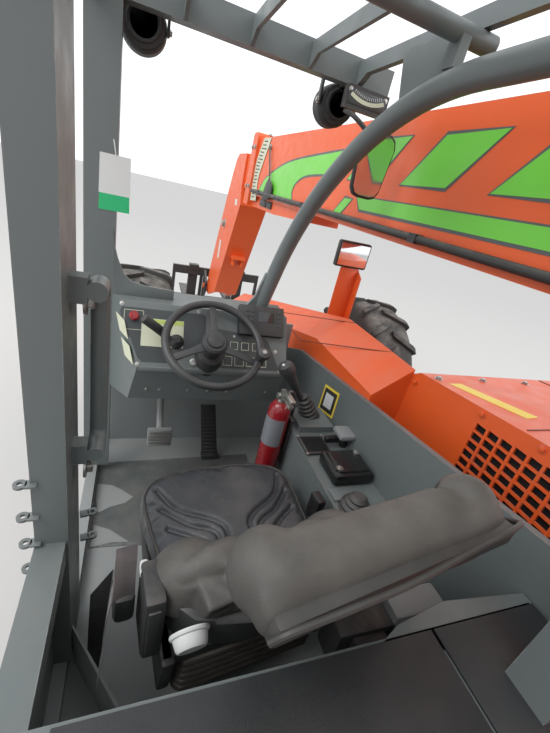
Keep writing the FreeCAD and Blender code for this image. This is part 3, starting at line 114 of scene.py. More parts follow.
def rod(name, start, end, radius, sides=24, bevel=0.0):
    """A round bar from one point to another."""
    fresh()
    start, end = Vector(start), Vector(end)
    run = end - start
    bpy.ops.mesh.primitive_cylinder_add(vertices=sides, radius=radius, depth=run.length,
                                        location=(start + end) / 2,
                                        rotation=run.to_track_quat("Z", "Y").to_euler())
    piece = bpy.context.object
    piece.name = name
    placed(piece)
    return rounded(piece, bevel) if bevel else piece


def chain(name, points):
    """Vertices joined in order, left in edit mode and all selected."""
    fresh()
    points = [Vector(point) for point in points]
    bpy.ops.mesh.primitive_plane_add(size=0.01, location=(0, 0, 0))
    bpy.context.object.name = name
    bpy.ops.object.mode_set(mode="EDIT")
    bpy.ops.mesh.select_all(action="SELECT")
    bpy.ops.mesh.merge(type="CENTER")
    bpy.ops.transform.translate(value=points[0])
    for here, there in zip(points, points[1:]):
        bpy.ops.mesh.extrude_vertices_move(TRANSFORM_OT_translate={"value": there - here})
    bpy.ops.mesh.select_all(action="SELECT")
    return bpy.context.object


def plate(name, outline, thick, bevel=0.0):
    """A plate from its outline's corners and its thickness as a vector."""
    piece = chain(name, outline)
    bpy.ops.mesh.edge_face_add()
    bpy.ops.mesh.extrude_region_move(TRANSFORM_OT_translate={"value": thick})
    bpy.ops.mesh.select_all(action="SELECT")
    bpy.ops.mesh.normals_make_consistent(inside=False)
    fresh()
    return rounded(piece, bevel) if bevel else piece


def tube(name, points, radius, bend=0.0, detail=3):
    """A round tube along points, with rounded corners."""
    piece = chain(name, points)
    if bend:
        bpy.ops.mesh.bevel(offset=bend, segments=6, affect="VERTICES")
    fresh()
    only(piece)
    bpy.ops.object.convert(target="CURVE")
    piece = bpy.context.object
    piece.data.bevel_depth = radius
    piece.data.bevel_resolution = detail
    piece.data.use_fill_caps = True
    bpy.ops.object.convert(target="MESH")
    return bpy.context.object


def spun(name, profile, centre=(0, 0, 0), axis=(0, 0, 1), steps=32):
    """A turned piece; its profile gives radius and place along the axis."""
    piece = chain(name, [(radius, 0, along) for radius, along in profile])
    bpy.ops.mesh.spin(steps=steps, angle=2 * math.pi, center=(0, 0, 0), axis=(0, 0, 1))
    bpy.ops.mesh.select_all(action="SELECT")
    bpy.ops.mesh.remove_doubles(threshold=0.00002)
    bpy.ops.mesh.normals_make_consistent(inside=False)
    fresh()
    piece.rotation_euler = Vector(axis).to_track_quat("Z", "Y").to_euler()
    piece.location = centre
    return placed(piece)


def rowed(piece, step, count):
    """Repeats a piece along a straight line."""
    return use(piece, "ARRAY", count=count, use_relative_offset=False, use_constant_offset=True,
               constant_offset_displace=step)


def ringed(piece, centre, axis, count):
    """Repeats a piece round an axis."""
    centre = Vector(centre)
    turn = Matrix.Rotation(2 * math.pi / count, 4, Vector(axis))
    fresh()
    bpy.ops.object.empty_add(location=centre - turn @ centre, rotation=turn.to_euler())
    guide = bpy.context.object
    use(piece, "ARRAY", count=count, use_relative_offset=False, use_object_offset=True, offset_object=guide)
    only(guide)
    bpy.ops.object.delete()
    return piece


def joined(name, pieces):
    """Several meshes made one."""
    fresh()
    for piece in pieces:
        piece.select_set(True)
    bpy.context.view_layer.objects.active = pieces[0]
    bpy.ops.object.join()
    pieces[0].name = name
    return pieces[0]


def settled(piece, body, material, smooth=35):
    """Gives a finished piece its shading, its finish and the body that it rides on."""
    placed(piece)
    if smooth:
        bpy.ops.object.shade_smooth_by_angle(angle=math.radians(smooth))
    piece.data.materials.clear()
    piece.data.materials.append(material)
    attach(piece, body)
    return piece


def add(tree, kind, inputs=(), **settings):
    """A shader node with its settings, values and links."""
    made = tree.nodes.new(kind)
    for key, value in settings.items():
        setattr(made, key, value)
    for socket, value in dict(inputs).items():
        if isinstance(value, bpy.types.NodeSocket):
            tree.links.new(value, made.inputs[socket])
        else:
            made.inputs[socket].default_value = value
    return made


def group(name, inputs, outputs):
    """An empty node group with its sockets; each is given as name and kind."""
    tree = bpy.data.node_groups.new(name, "ShaderNodeTree")
    for socket, kind in inputs:
        tree.interface.new_socket(name=socket, in_out="INPUT", socket_type="NodeSocket" + kind)
    for socket, kind in outputs:
        tree.interface.new_socket(name=socket, in_out="OUTPUT", socket_type="NodeSocket" + kind)
    return tree, tree.nodes.new("NodeGroupInput").outputs, tree.nodes.new("NodeGroupOutput").inputs


def noise(tree, place, scale, detail=4.0, rough=0.55):
    """Value of a noise texture at a place."""
    made = add(tree, "ShaderNodeTexNoise", {"Vector": place, "Scale": scale, "Detail": detail, "Roughness": rough})
    return made.outputs["Fac"]


def ramp(tree, value, low, high, out_low=0.0, out_high=1.0):
    """A value mapped from one range to another and held inside it."""
    made = add(tree, "ShaderNodeMapRange", {0: value, 1: low, 2: high, 3: out_low, 4: out_high})
    return made.outputs[0]


def times(tree, first, second, operation="MULTIPLY"):
    """Two values joined by simple arithmetic."""
    return add(tree, "ShaderNodeMath", {0: first, 1: second}, operation=operation).outputs[0]


def blend(tree, mask, first, second):
    """A colour between two, by a mask."""
    made = add(tree, "ShaderNodeMix", {"Factor": mask}, data_type="RGBA")
    for index, value in ((6, first), (7, second)):
        if isinstance(value, bpy.types.NodeSocket):
            tree.links.new(value, made.inputs[index])
        else:
            made.inputs[index].default_value = (*value, 1) if len(value) == 3 else value
    return made.outputs[2]


def mottle_group():
    """Slow change in a colour's brightness, and a dust layer on faces that look up."""
    tree, given, out = group("mottle and dust", [("Place", "Vector"), ("Colour", "Color"), ("Amount", "Float"),
                                                 ("Scale", "Float"), ("Dust", "Float")], [("Colour", "Color")])
    large = noise(tree, given["Place"], given["Scale"], 5.0, 0.6)
    shade = times(tree, times(tree, large, 0.5, "SUBTRACT"), given["Amount"])
    light = times(tree, shade, 1.0, "ADD")
    tone = add(tree, "ShaderNodeVectorMath", {0: given["Colour"], "Scale": light}, operation="SCALE")
    normal = add(tree, "ShaderNodeNewGeometry").outputs["Normal"]
    up = add(tree, "ShaderNodeSeparateXYZ", {0: normal}).outputs["Z"]
    facing = ramp(tree, up, 0.2, 1.0)
    patch = ramp(tree, noise(tree, given["Place"], 9.0, 6.0, 0.65), 0.38, 0.68)
    fall = times(tree, times(tree, facing, patch), given["Dust"])
    base = times(tree, given["Dust"], 0.10)
    mask = times(tree, fall, base, "ADD")
    tree.links.new(blend(tree, mask, tone.outputs[0], (0.30, 0.27, 0.235)), out["Colour"])
    return tree


def wear_group():
    """Mask of rubbed edges, broken up by noise."""
    tree, given, out = group("edge wear", [("Place", "Vector"), ("Width", "Float"), ("Amount", "Float")],
                             [("Mask", "Float")])
    soft = add(tree, "ShaderNodeBevel", {"Radius": given["Width"]}, samples=4).outputs[0]
    hard = add(tree, "ShaderNodeNewGeometry").outputs["Normal"]
    flat = add(tree, "ShaderNodeVectorMath", {0: soft, 1: hard}, operation="DOT_PRODUCT").outputs["Value"]
    edge = ramp(tree, flat, 0.985, 0.86)
    broken = ramp(tree, noise(tree, given["Place"], 38.0, 6.0, 0.7), 0.47, 0.6)
    tree.links.new(times(tree, times(tree, edge, broken), given["Amount"]), out["Mask"])
    return tree


def grain_group():
    """Height of a fine grain, finer and rougher as its scale goes up."""
    tree, given, out = group("fine grain", [("Place", "Vector"), ("Scale", "Float"), ("Pebble", "Float")],
                             [("Height", "Float")])
    fine = noise(tree, given["Place"], given["Scale"], 3.0, 0.6)
    cell = add(tree, "ShaderNodeTexVoronoi", {"Vector": given["Place"], "Scale": given["Scale"]},
               feature="F1").outputs["Distance"]
    mixed = times(tree, cell, given["Pebble"])
    tree.links.new(times(tree, fine, mixed, "ADD"), out["Height"])
    return tree


MOTTLE = mottle_group()
WEAR = wear_group()
GRAIN = grain_group()


def shared(tree, source, inputs):
    """Places a node group with its values."""
    made = tree.nodes.new("ShaderNodeGroup")
    made.node_tree = source
    for socket, value in inputs.items():
        if isinstance(value, bpy.types.NodeSocket):
            tree.links.new(value, made.inputs[socket])
        else:
            made.inputs[socket].default_value = value
    return made.outputs


def finish(name, colour, roughness, metallic=0.0, mottle=0.15, dust=0.15, wear=0.0, under=(0.25, 0.23, 0.21),
           width=0.004, grain=0.02, grain_scale=400.0, pebble=0.0, sheen=0.0, coat=0.0):
    """A surface with mottled colour, dust, rubbed edges and grain."""
    material = bpy.data.materials.new(name)
    material.use_nodes = True
    tree = material.node_tree
    shader = tree.nodes["Principled BSDF"]
    place = add(tree, "ShaderNodeTexCoord").outputs["Object"]
    tone = shared(tree, MOTTLE, {"Place": place, "Colour": (*colour, 1), "Amount": mottle, "Scale": 2.2,
                                 "Dust": dust})["Colour"]
    if wear:
        mask = shared(tree, WEAR, {"Place": place, "Width": width, "Amount": wear})["Mask"]
        tone = blend(tree, mask, tone, under)
    tree.links.new(tone, shader.inputs["Base Color"])
    patch = ramp(tree, noise(tree, place, 14.0, 5.0), 0.3, 0.7, roughness - 0.08, roughness + 0.1)
    tree.links.new(patch, shader.inputs["Roughness"])
    height = shared(tree, GRAIN, {"Place": place, "Scale": grain_scale, "Pebble": pebble})["Height"]
    bump = add(tree, "ShaderNodeBump", {"Height": height, "Strength": grain * 10, "Distance": 0.0006})
    tree.links.new(bump.outputs["Normal"], shader.inputs["Normal"])
    shader.inputs["Metallic"].default_value = metallic
    shader.inputs["Sheen Weight"].default_value = sheen
    shader.inputs["Coat Weight"].default_value = coat
    return material


ORANGE = finish("orange paint", (0.72, 0.098, 0.014), 0.42, wear=0.55, dust=0.20, grain=0.012, grain_scale=160)
GREY = finish("cab grey paint", (0.122, 0.140, 0.140), 0.42, wear=0.5, dust=0.12, grain=0.015, grain_scale=260,
              under=(0.33, 0.32, 0.30))
CHASSIS = finish("chassis paint", (0.06, 0.065, 0.065), 0.6, wear=0.5, dust=0.6, grain=0.03)
BLACK = finish("black paint", (0.022, 0.022, 0.022), 0.5, wear=0.7, dust=0.35, under=(0.28, 0.26, 0.24))
PLASTIC = finish("moulded plastic", (0.022, 0.023, 0.025), 0.52, dust=0.25, grain=0.05, grain_scale=900, pebble=0.6)
CHROME = finish("hard chrome", (0.72, 0.73, 0.75), 0.16, metallic=1.0, dust=0.05, grain=0.002)
RIM = finish("wheel paint", (0.55, 0.52, 0.46), 0.5, wear=0.5, dust=0.5)
RUBBER = finish("tyre rubber", (0.026, 0.026, 0.026), 0.75, dust=0.5, mottle=0.3, grain=0.06, grain_scale=240)
VINYL = finish("seat vinyl", (0.034, 0.038, 0.045), 0.30, dust=0.15, mottle=0.25, grain=0.05, grain_scale=700,
               pebble=1.0)
RED = finish("red enamel", (0.26, 0.006, 0.011), 0.25, wear=0.3, dust=0.1, grain=0.004, coat=0.4)
PIPING = finish("seat piping", (0.034, 0.033, 0.032), 0.5, dust=0.1, mottle=0.2, grain=0.03, grain_scale=600)
WORN_VINYL = finish("worn seat vinyl", (0.062, 0.059, 0.054), 0.5, dust=0.2, mottle=0.45, wear=0.35,
                    under=(0.16, 0.135, 0.11), width=0.01, grain=0.07, grain_scale=650, pebble=1.0)
WHEEL_PLASTIC = finish("wheel plastic", (0.030, 0.031, 0.033), 0.42, dust=0.1, grain=0.04, grain_scale=900, pebble=0.5)
BELLOWS = finish("bellows rubber", (0.026, 0.026, 0.027), 0.7, dust=0.45, grain=0.04, grain_scale=300)
DUSTY_BELLOWS = finish("dusty bellows", (0.040, 0.034, 0.028), 0.75, dust=0.55, mottle=0.4, grain=0.05,
                       grain_scale=300)
WEBBING = finish("belt webbing", (0.050, 0.040, 0.043), 0.75, dust=0.3, grain=0.09, grain_scale=500, sheen=0.3)
OVERLAY = finish("overlay film", (0.040, 0.047, 0.050), 0.35, dust=0.1, grain=0.01)
CARD = finish("blank card", (0.55, 0.56, 0.42), 0.55, dust=0.15, grain=0.01)
CARD_HEAD = finish("card heading", (0.42, 0.52, 0.12), 0.5, dust=0.1, grain=0.01)
PALE = finish("pale plastic", (0.62, 0.63, 0.62), 0.45, dust=0.15, grain=0.02)
GLOSS = finish("glossy cover", (0.008, 0.008, 0.009), 0.28, dust=0.03, grain=0.02, grain_scale=500)
SCREEN = finish("display glass", (0.012, 0.014, 0.016), 0.12, dust=0.02, grain=0.0, coat=0.5)
STEEL = finish("zinc steel", (0.45, 0.45, 0.43), 0.38, metallic=0.9, dust=0.15, grain=0.02)
STRIPE_GREEN = finish("stripe green", (0.150, 0.560, 0.045), 0.35, dust=0.15, wear=0.2, grain=0.006, under=(0.5, 0.2, 0.08))
STRIPE_DARK = finish("stripe edge", (0.075, 0.085, 0.085), 0.4, dust=0.15, wear=0.2, grain=0.006)
PALE_PAINT = finish("blank plate", (0.60, 0.58, 0.52), 0.5, dust=0.3, wear=0.4, grain=0.01)
PALE_GREY = finish("grey plastic", (0.20, 0.21, 0.21), 0.5, dust=0.15, grain=0.03)
SILVER_LABEL = finish("silver label", (0.19, 0.20, 0.22), 0.4, wear=0.4, dust=0.1, under=(0.5, 0.03, 0.03), grain=0.02)
SIGN_YELLOW = finish("yellow plate", (0.78, 0.60, 0.06), 0.45, dust=0.1, wear=0.3, grain=0.01)
TAG_GREEN = finish("green card", (0.02, 0.42, 0.16), 0.5, dust=0.1, grain=0.01)
SEAM = finish("seam shadow", (0.14, 0.030, 0.012), 0.7, dust=0.2, grain=0.01)
AMBER = finish("amber lens", (0.80, 0.28, 0.02), 0.15, dust=0.1, grain=0.01, coat=0.5)
LENS = finish("lamp lens", (0.75, 0.77, 0.78), 0.12, dust=0.15, grain=0.03, grain_scale=90, coat=0.6)
MIRROR = finish("mirror glass", (0.80, 0.81, 0.82), 0.05, metallic=1.0, dust=0.1, grain=0.0)
FLOOR_PAINT = finish("worn floor", (0.230, 0.245, 0.245), 0.5, wear=0.7, dust=0.2, under=(0.36, 0.36, 0.34),
                     grain=0.02, grain_scale=220)
SHEET = finish("rubber sheet", (0.070, 0.078, 0.078), 0.55, wear=0.8, dust=0.2, under=(0.30, 0.31, 0.30), width=0.02,
               grain=0.03, grain_scale=300)
TORN = finish("torn sheet", (0.23, 0.24, 0.238), 0.6, dust=0.1, mottle=0.3, grain=0.03)
# Painted shade: a near-black matte finish for plates set where there is only shadow, in the console tray's recess, on
# the floor left of the seat and behind the grille.
PAINTED_SHADE = finish("painted shade", (0.002, 0.002, 0.002), 0.9, dust=0.0, mottle=0.0, grain=0.0)
MAT = finish("shelf mat", (0.020, 0.022, 0.024), 0.45, dust=0.04, grain=0.05, grain_scale=500, pebble=0.5)
OWN_LOOKS = {"cab_floor": FLOOR_PAINT, "slope_gauge": BLACK, "console": GREY}
FINISHES = {"orange_paint": ORANGE, "frame_paint": CHASSIS, "cab_paint": GREY, "black_paint": BLACK,
            "rod_chrome": CHROME, "rim_paint": RIM, "tyre_rubber": RUBBER, "black_plastic": PLASTIC,
            "seat_vinyl": VINYL, "seat_frame": PLASTIC, "red_paint": RED}


def dress_nodes():
    """Each frame piece takes the finish of its slot."""
    for part in frame["record"]["subparts"]:
        node = frame["nodes"][part["node"]]
        node.data.materials.clear()
        node.data.materials.append(OWN_LOOKS.get(part["node"], FINISHES[part["material_slot"]]))


def make_camera():
    """Camera at the photograph's place, heading, tilt and roll."""
    fresh()
    bpy.ops.object.camera_add(location=VIEW_PLACE)
    camera = bpy.context.object
    turn = (Matrix.Rotation(math.radians(-VIEW_HEADING), 4, "Z")
            @ Matrix.Rotation(math.radians(90 - VIEW_DOWN), 4, "X")
            @ Matrix.Rotation(math.radians(VIEW_ROLL), 4, "Z"))
    camera.rotation_euler = turn.to_euler()
    camera.data.sensor_fit = "VERTICAL"
    camera.data.sensor_height = SENSOR
    camera.data.lens = FOCUS_PX / PHOTO_HEIGHT_PX * SENSOR
    camera.data.clip_start = 0.02
    camera.data.clip_end = 200
    bpy.context.scene.camera = camera


def make_studio():
    """Pale floor, pale surroundings and soft light."""
    fresh()
    bpy.ops.mesh.primitive_plane_add(size=120, location=(0, 0, 0))
    floor = bpy.context.object
    floor.name = "studio_floor"
    material = bpy.data.materials.new("studio floor")
    material.use_nodes = True
    shader = material.node_tree.nodes["Principled BSDF"]
    shader.inputs["Base Color"].default_value = (0.50, 0.49, 0.475, 1)
    shader.inputs["Roughness"].default_value = 0.9
    floor.data.materials.append(material)
    world = bpy.data.worlds.new("studio")
    bpy.context.scene.world = world
    world.use_nodes = True
    world.node_tree.nodes["Background"].inputs[0].default_value = (0.86, 0.88, 0.90, 1)
    world.node_tree.nodes["Background"].inputs[1].default_value = 1.45
    for name, place, turn, size, power in (("key", (-7, -3, 9), (-0.3, -0.62, 0), 5, 620),
                                           ("fill", (8, -6, 8), (0.5, 0.75, 0), 6, 300)):
        bpy.ops.object.light_add(type="AREA", location=place)
        lamp = bpy.context.object
        lamp.name = name
        lamp.rotation_euler = (Vector((0, 0, 1)) - Vector(place)).to_track_quat("-Z", "Y").to_euler()
        lamp.data.size = size
        lamp.data.energy = power


# Seat, turned a little to the left about its middle; its pieces are drawn about that middle
SEAT_PLACE = (-0.753, -1.640, 0.0)
SEAT_TURN = math.radians(6)
CUSHION_LOW = 1.134
CUSHION_TOP = 1.228
CUSHION_PIPING = 0.0045
CREST_R = 0.046

# Joystick, leaning left from upright
STICK_LEAN = math.radians(36)

# Steering wheel
HUB = Vector((-0.790, -1.020, 1.560))
HUB_UP = Vector((0, -math.sin(math.radians(35)), math.cos(math.radians(35))))
WHEEL_R = 0.174

# Dash face: its upper edge, the way down it and the way out of it
DASH_EDGE = Vector((0, -0.850, 1.630))
DASH_DOWN = Vector((0, -0.130, -0.200)).normalized()
DASH_OUT = Vector((0, -0.200, 0.130)).normalized()
FILM = 0.0016


def seated(piece):
    """Turns a piece that was drawn about the seat's middle and sets it in place."""
    only(piece)
    piece.rotation_euler = (0, 0, SEAT_TURN)
    piece.location = SEAT_PLACE
    return placed(piece)


def mirrored(points):
    """An outline's points and their mirror images, back round to the start."""
    return list(points) + [(-x, y) for x, y in reversed(points) if abs(x) > 1e-6]


def vertices(piece):
    """A piece's vertex places and normals as arrays."""
    count = len(piece.data.vertices)
    places = np.empty(count * 3)
    normals = np.empty(count * 3)
    piece.data.vertices.foreach_get("co", places)
    piece.data.vertices.foreach_get("normal", normals)
    return places.reshape(-1, 3), normals.reshape(-1, 3)


def put(piece, places):
    """Writes vertex places back."""
    piece.data.vertices.foreach_set("co", places.ravel())
    piece.data.update()


def swollen(piece, voxel, pressure, cap, rounds=6):
    """Padded piece: remeshed, blown up a little as cloth, held within a cap, and subdivided."""
    use(piece, "REMESH", mode="VOXEL", voxel_size=voxel)
    use(piece, "SMOOTH", iterations=rounds, factor=0.5)
    start, unused = vertices(piece)
    only(piece)
    bpy.ops.object.modifier_add(type="CLOTH")
    cloth = piece.modifiers[-1]
    cloth.settings.use_pressure = True
    cloth.settings.uniform_pressure_force = pressure
    cloth.settings.effector_weights.gravity = 0
    cloth.collision_settings.use_collision = False
    for step in range(1, 21):
        bpy.context.scene.frame_set(step)
    bpy.ops.object.modifier_apply(modifier=cloth.name)
    bpy.context.scene.frame_set(1)
    moved, unused = vertices(piece)
    shift = moved - start
    far = np.linalg.norm(shift, axis=1, keepdims=True)
    put(piece, start + shift * np.minimum(1, cap / np.maximum(far, 1e-9)))
    return use(piece, "SUBSURF", levels=1, render_levels=1)


def away_from(places, path):
    """Distance of each place from a line through points."""
    best = np.full(len(places), 9.0)
    for start, end in zip(path, path[1:]):
        start, run = np.array(start), np.array(end) - np.array(start)
        along = np.clip((places - start) @ run / (run @ run), 0, 1)
        best = np.minimum(best, np.linalg.norm(places - start - along[:, None] * run, axis=1))
    return best


def sewn(piece, path, depth, width, flat=True):
    """Presses a sewn channel into a piece along a line, seen from above or in space."""
    places, normals = vertices(piece)
    axes = slice(0, 2) if flat else slice(0, 3)
    near = away_from(places[:, axes], [tuple(point)[axes] for point in path])
    press = depth * np.exp(-(near / width) ** 2)
    if flat:
        press *= np.clip(normals[:, 2], 0, 1)
    put(piece, places - normals * press[:, None])
    return piece


def eased(points, steps=6):
    """A smoother path through points, by cubic curves."""
    points = [Vector(point) for point in points]
    ends = [points[0] * 2 - points[1]] + points + [points[-1] * 2 - points[-2]]
    path = []
    for a, b, c, d in zip(ends, ends[1:], ends[2:], ends[3:]):
        for step in range(steps):
            t = step / steps
            path.append(0.5 * (2 * b + (c - a) * t + (2 * a - 5 * b + 4 * c - d) * t ** 2
                               + (3 * b - a - 3 * c + d) * t ** 3))
    return path + [points[-1]]


def perched(piece, points, lift=0.0):
    """Plan points set on top of a piece."""
    path = []
    for x, y in points:
        hit, place, normal, face = piece.ray_cast(Vector((x, y, 3)), Vector((0, 0, -1)))
        path.append(place + Vector((0, 0, lift)))
    return path


def make_cushion():
    """Seat cushion: crowned, piped near its edge, with three sewn channels each side."""
    edge = [(0.0, 0.368), (0.085, 0.366), (0.150, 0.355), (0.214, 0.325), (0.246, 0.290), (0.257, 0.240), (0.252, 0.160),
            (0.240, 0.070), (0.222, -0.020), (0.208, -0.060), (0.10, -0.066), (0.0, -0.066)]
    outline = [(x, y, CUSHION_LOW) for x, y in mirrored(edge)]
    cushion = plate("seat_cushion_pad", outline, (0, 0, CUSHION_TOP - CUSHION_LOW), bevel=0.02)
    cushion = swollen(cushion, 0.006, 4.0, 0.014)
    channels = [[(0.200, 0.262), (0.155, 0.180), (0.066, 0.124), (0.036, 0.082), (0.050, 0.000)],
                [(0.200, 0.190), (0.134, 0.122), (0.082, 0.094), (0.062, 0.062), (0.078, 0.000)],
                [(0.190, 0.118), (0.128, 0.076), (0.102, 0.048), (0.104, 0.000)]]
    for side in (-1, 1):
        for channel in channels:
            path = eased([(side * x, y, 0) for x, y in channel])
            sewn(cushion, [point[:2] for point in path], 0.013, 0.0075)
    welt = [(x * 0.92, y - 0.018 if y > 0.25 else y) for x, y in edge if y > -0.04]
    rounded_welt = [point[:2] for point in eased([(x, y, 0) for x, y in welt[::-1]])]
    whole = rounded_welt + [(-x, y) for x, y in reversed(rounded_welt[:-1])]
    bead = tube("seat_cushion_piping", perched(cushion, whole, 0.001), CUSHION_PIPING, detail=2)
    for piece, slot, look in ((cushion, "seat_vinyl", VINYL), (bead, "seat_vinyl", PIPING)):
        settled(seated(piece), "chassis", look, smooth=60)
    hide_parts("seat_cushion")


def lobe(name, middle, reach):
    """A rounded lump, its half sizes given along X, Y and Z."""
    fresh()
    bpy.ops.mesh.primitive_uv_sphere_add(segments=40, ring_count=20, location=middle)
    piece = bpy.context.object
    piece.name = name
    piece.scale = reach
    return placed(piece)


def make_backrest():
    """Backrest: a leaning pad with a rolled crest, side bolsters and two low wings."""
    low = [(-0.090, 1.212), (-0.092, 1.250), (-0.104, 1.340), (-0.125, 1.400), (-0.200, 1.385), (-0.168, 1.310),
           (-0.160, 1.212)]
    waist = [(-0.108, 1.360), (-0.140, 1.425), (-0.240, 1.590), (-0.306, 1.575), (-0.210, 1.400), (-0.176, 1.340)]
    high = [(-0.205, 1.530), (-0.296, 1.690), (-0.335, 1.720), (-0.372, 1.715), (-0.372, 1.690), (-0.280, 1.515)]
    pieces = [plate("back_low", [(-0.190, y, z) for y, z in low], (0.380, 0, 0)),
              plate("back_waist", [(-0.130, y, z) for y, z in waist], (0.260, 0, 0)),
              plate("back_high", [(-0.175, y, z) for y, z in high], (0.350, 0, 0)),
              rod("back_crest", (-0.200, -0.346, 1.684), (0.206, -0.336, 1.708), CREST_R, bevel=0.02),
              rod("back_crest_low", (-0.212, -0.358, 1.676), (0.220, -0.344, 1.704), CREST_R - 0.006, bevel=0.012)]
    for side in (-1, 1):
        pieces.append(lobe("back_wing", (side * 0.186, -0.078, 1.322), (0.086, 0.074, 0.082)))
        pieces.append(lobe("back_wing_root", (side * 0.128, -0.104, 1.366), (0.105, 0.048, 0.058)))
        pieces.append(lobe("back_bolster", (side * 0.184, -0.322, 1.692 + side * 0.018), (0.048, 0.052, 0.056)))
    back = joined("seat_back_pad", pieces)
    back = swollen(back, 0.007, 3.0, 0.010, rounds=12)
    settled(seated(back), "chassis", WORN_VINYL, smooth=60)
    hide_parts("seat_back")
    seam = [(-0.206, -0.398, 1.672), (-0.186, -0.404, 1.692), (-0.120, -0.406, 1.700), (-0.020, -0.405, 1.708),
            (0.100, -0.396, 1.720), (0.206, -0.388, 1.728), (0.232, -0.370, 1.712), (0.236, -0.345, 1.690)]
    piping = tube("seat_back_piping", eased(seam), 0.0045, detail=2)
    band = plate("seat_back_band", [(-0.206, -0.402, 1.658), (0.216, -0.388, 1.684), (0.218, -0.388, 1.722),
                                    (-0.200, -0.402, 1.694)], (0, 0.060, -0.010), bevel=0.008)
    for piece in (piping, band):
        settled(seated(piece), "chassis", PIPING)


def make_seat_base():
    """Bellows, side covers, back cover, adjusting knob, lever and the belt's reel and strap."""
    rib = plate("seat_bellows", [(x, y, 0.955) for x, y in mirrored([(0.0, 0.185), (0.180, 0.185), (0.198, 0.167),
                (0.198, -0.122), (0.180, -0.140), (0.0, -0.140)])], (0, 0, 0.026), bevel=0.009)
    rib = rowed(rib, (0, 0, 0.027), 5)
    covers = []
    for side in (-1, 1):
        outline = [(side * 0.205, y, z) for y, z in ((-0.13, 0.985), (-0.15, 1.13), (0.26, 1.13), (0.285, 1.085),
                                                     (0.17, 1.02), (0.13, 0.985))]
        covers.append(plate("seat_side_cover", outline, (side * 0.03, 0, 0), bevel=0.006))
        box = block("seat_box", (side * 0.264 - 0.021, -0.152, 1.190), (side * 0.264 + 0.021, -0.052, 1.372), bevel=0.010)
        lid = block("seat_box_lid", (side * 0.266 - 0.012, -0.156, 1.215), (side * 0.266 + 0.012, -0.146, 1.350),
                    bevel=0.003)
        covers += [box, lid]
    covers = joined("seat_side_covers", covers)
    wrap = mirrored([(0.0, -0.198), (0.100, -0.193), (0.196, -0.163), (0.232, -0.120), (0.236, -0.070), (0.0, -0.070)])
    shell = joined("seat_back_shell", [
        plate("seat_back_cover", [(x, y, 1.222) for x, y in wrap], (0, -0.022, 0.120), bevel=0.010),
        plate("seat_back_plate", [(-0.165, -0.200, 1.36), (-0.165, -0.306, 1.55), (-0.130, -0.324, 1.58),
                                  (0.130, -0.324, 1.58), (0.165, -0.306, 1.55), (0.165, -0.200, 1.36)],
              (0, -0.010, -0.004), bevel=0.003)])
    knob = spun("seat_knob", [(0, 0), (0.038, 0), (0.0395, 0.003), (0.038, 0.007), (0.034, 0.009), (0.031, 0.026),
                              (0.027, 0.031), (0, 0.032)], (-0.205, -0.186, 1.318), (0, -1, -0.3), 40)
    lever = block("seat_lever", (-0.286, -0.078, 1.345), (-0.268, -0.046, 1.366), bevel=0.005)
    reel = block("belt_reel", (-0.336, -0.100, 1.248), (-0.294, -0.034, 1.322), bevel=0.012)
    cover = ribbon("belt_over_reel", [(-0.308, -0.026, 1.388), (-0.311, -0.050, 1.376), (-0.315, -0.076, 1.345),
                                      (-0.316, -0.090, 1.318)], (0.021, 0.002, 0))
    tail = ribbon("belt_tail", [(-0.338, -0.104, 1.372), (-0.346, -0.118, 1.340), (-0.350, -0.122, 1.270),
                                (-0.354, -0.120, 1.200), (-0.360, -0.126, 1.140)], (0.004, 0.022, 0.004))
    buckle = block("belt_buckle", (0.215, 0.035, 1.245), (0.245, 0.085, 1.330), bevel=0.008)
    for piece, slot, look in ((rib, "black_plastic", DUSTY_BELLOWS), (covers, "seat_frame", PLASTIC),
                              (knob, "seat_frame", PALE), (shell, "seat_frame", PLASTIC), (lever, "seat_frame", PALE),
                              (reel, "seat_frame", PLASTIC), (cover, "seat_vinyl", WEBBING),
                              (tail, "seat_vinyl", WEBBING), (buckle, "seat_frame", GLOSS)):
        settled(seated(piece), "chassis", look)


def ribbon(name, points, half, thick=0.0018, steps=5):
    """A flat strap along points; half is its half width as a vector."""
    path = eased(points, steps)
    half = Vector(half)
    piece = chain(name, [point - half for point in path])
    bpy.ops.mesh.extrude_region_move(TRANSFORM_OT_translate={"value": half * 2})
    fresh()
    return use(piece, "SOLIDIFY", thickness=thick, offset=0)


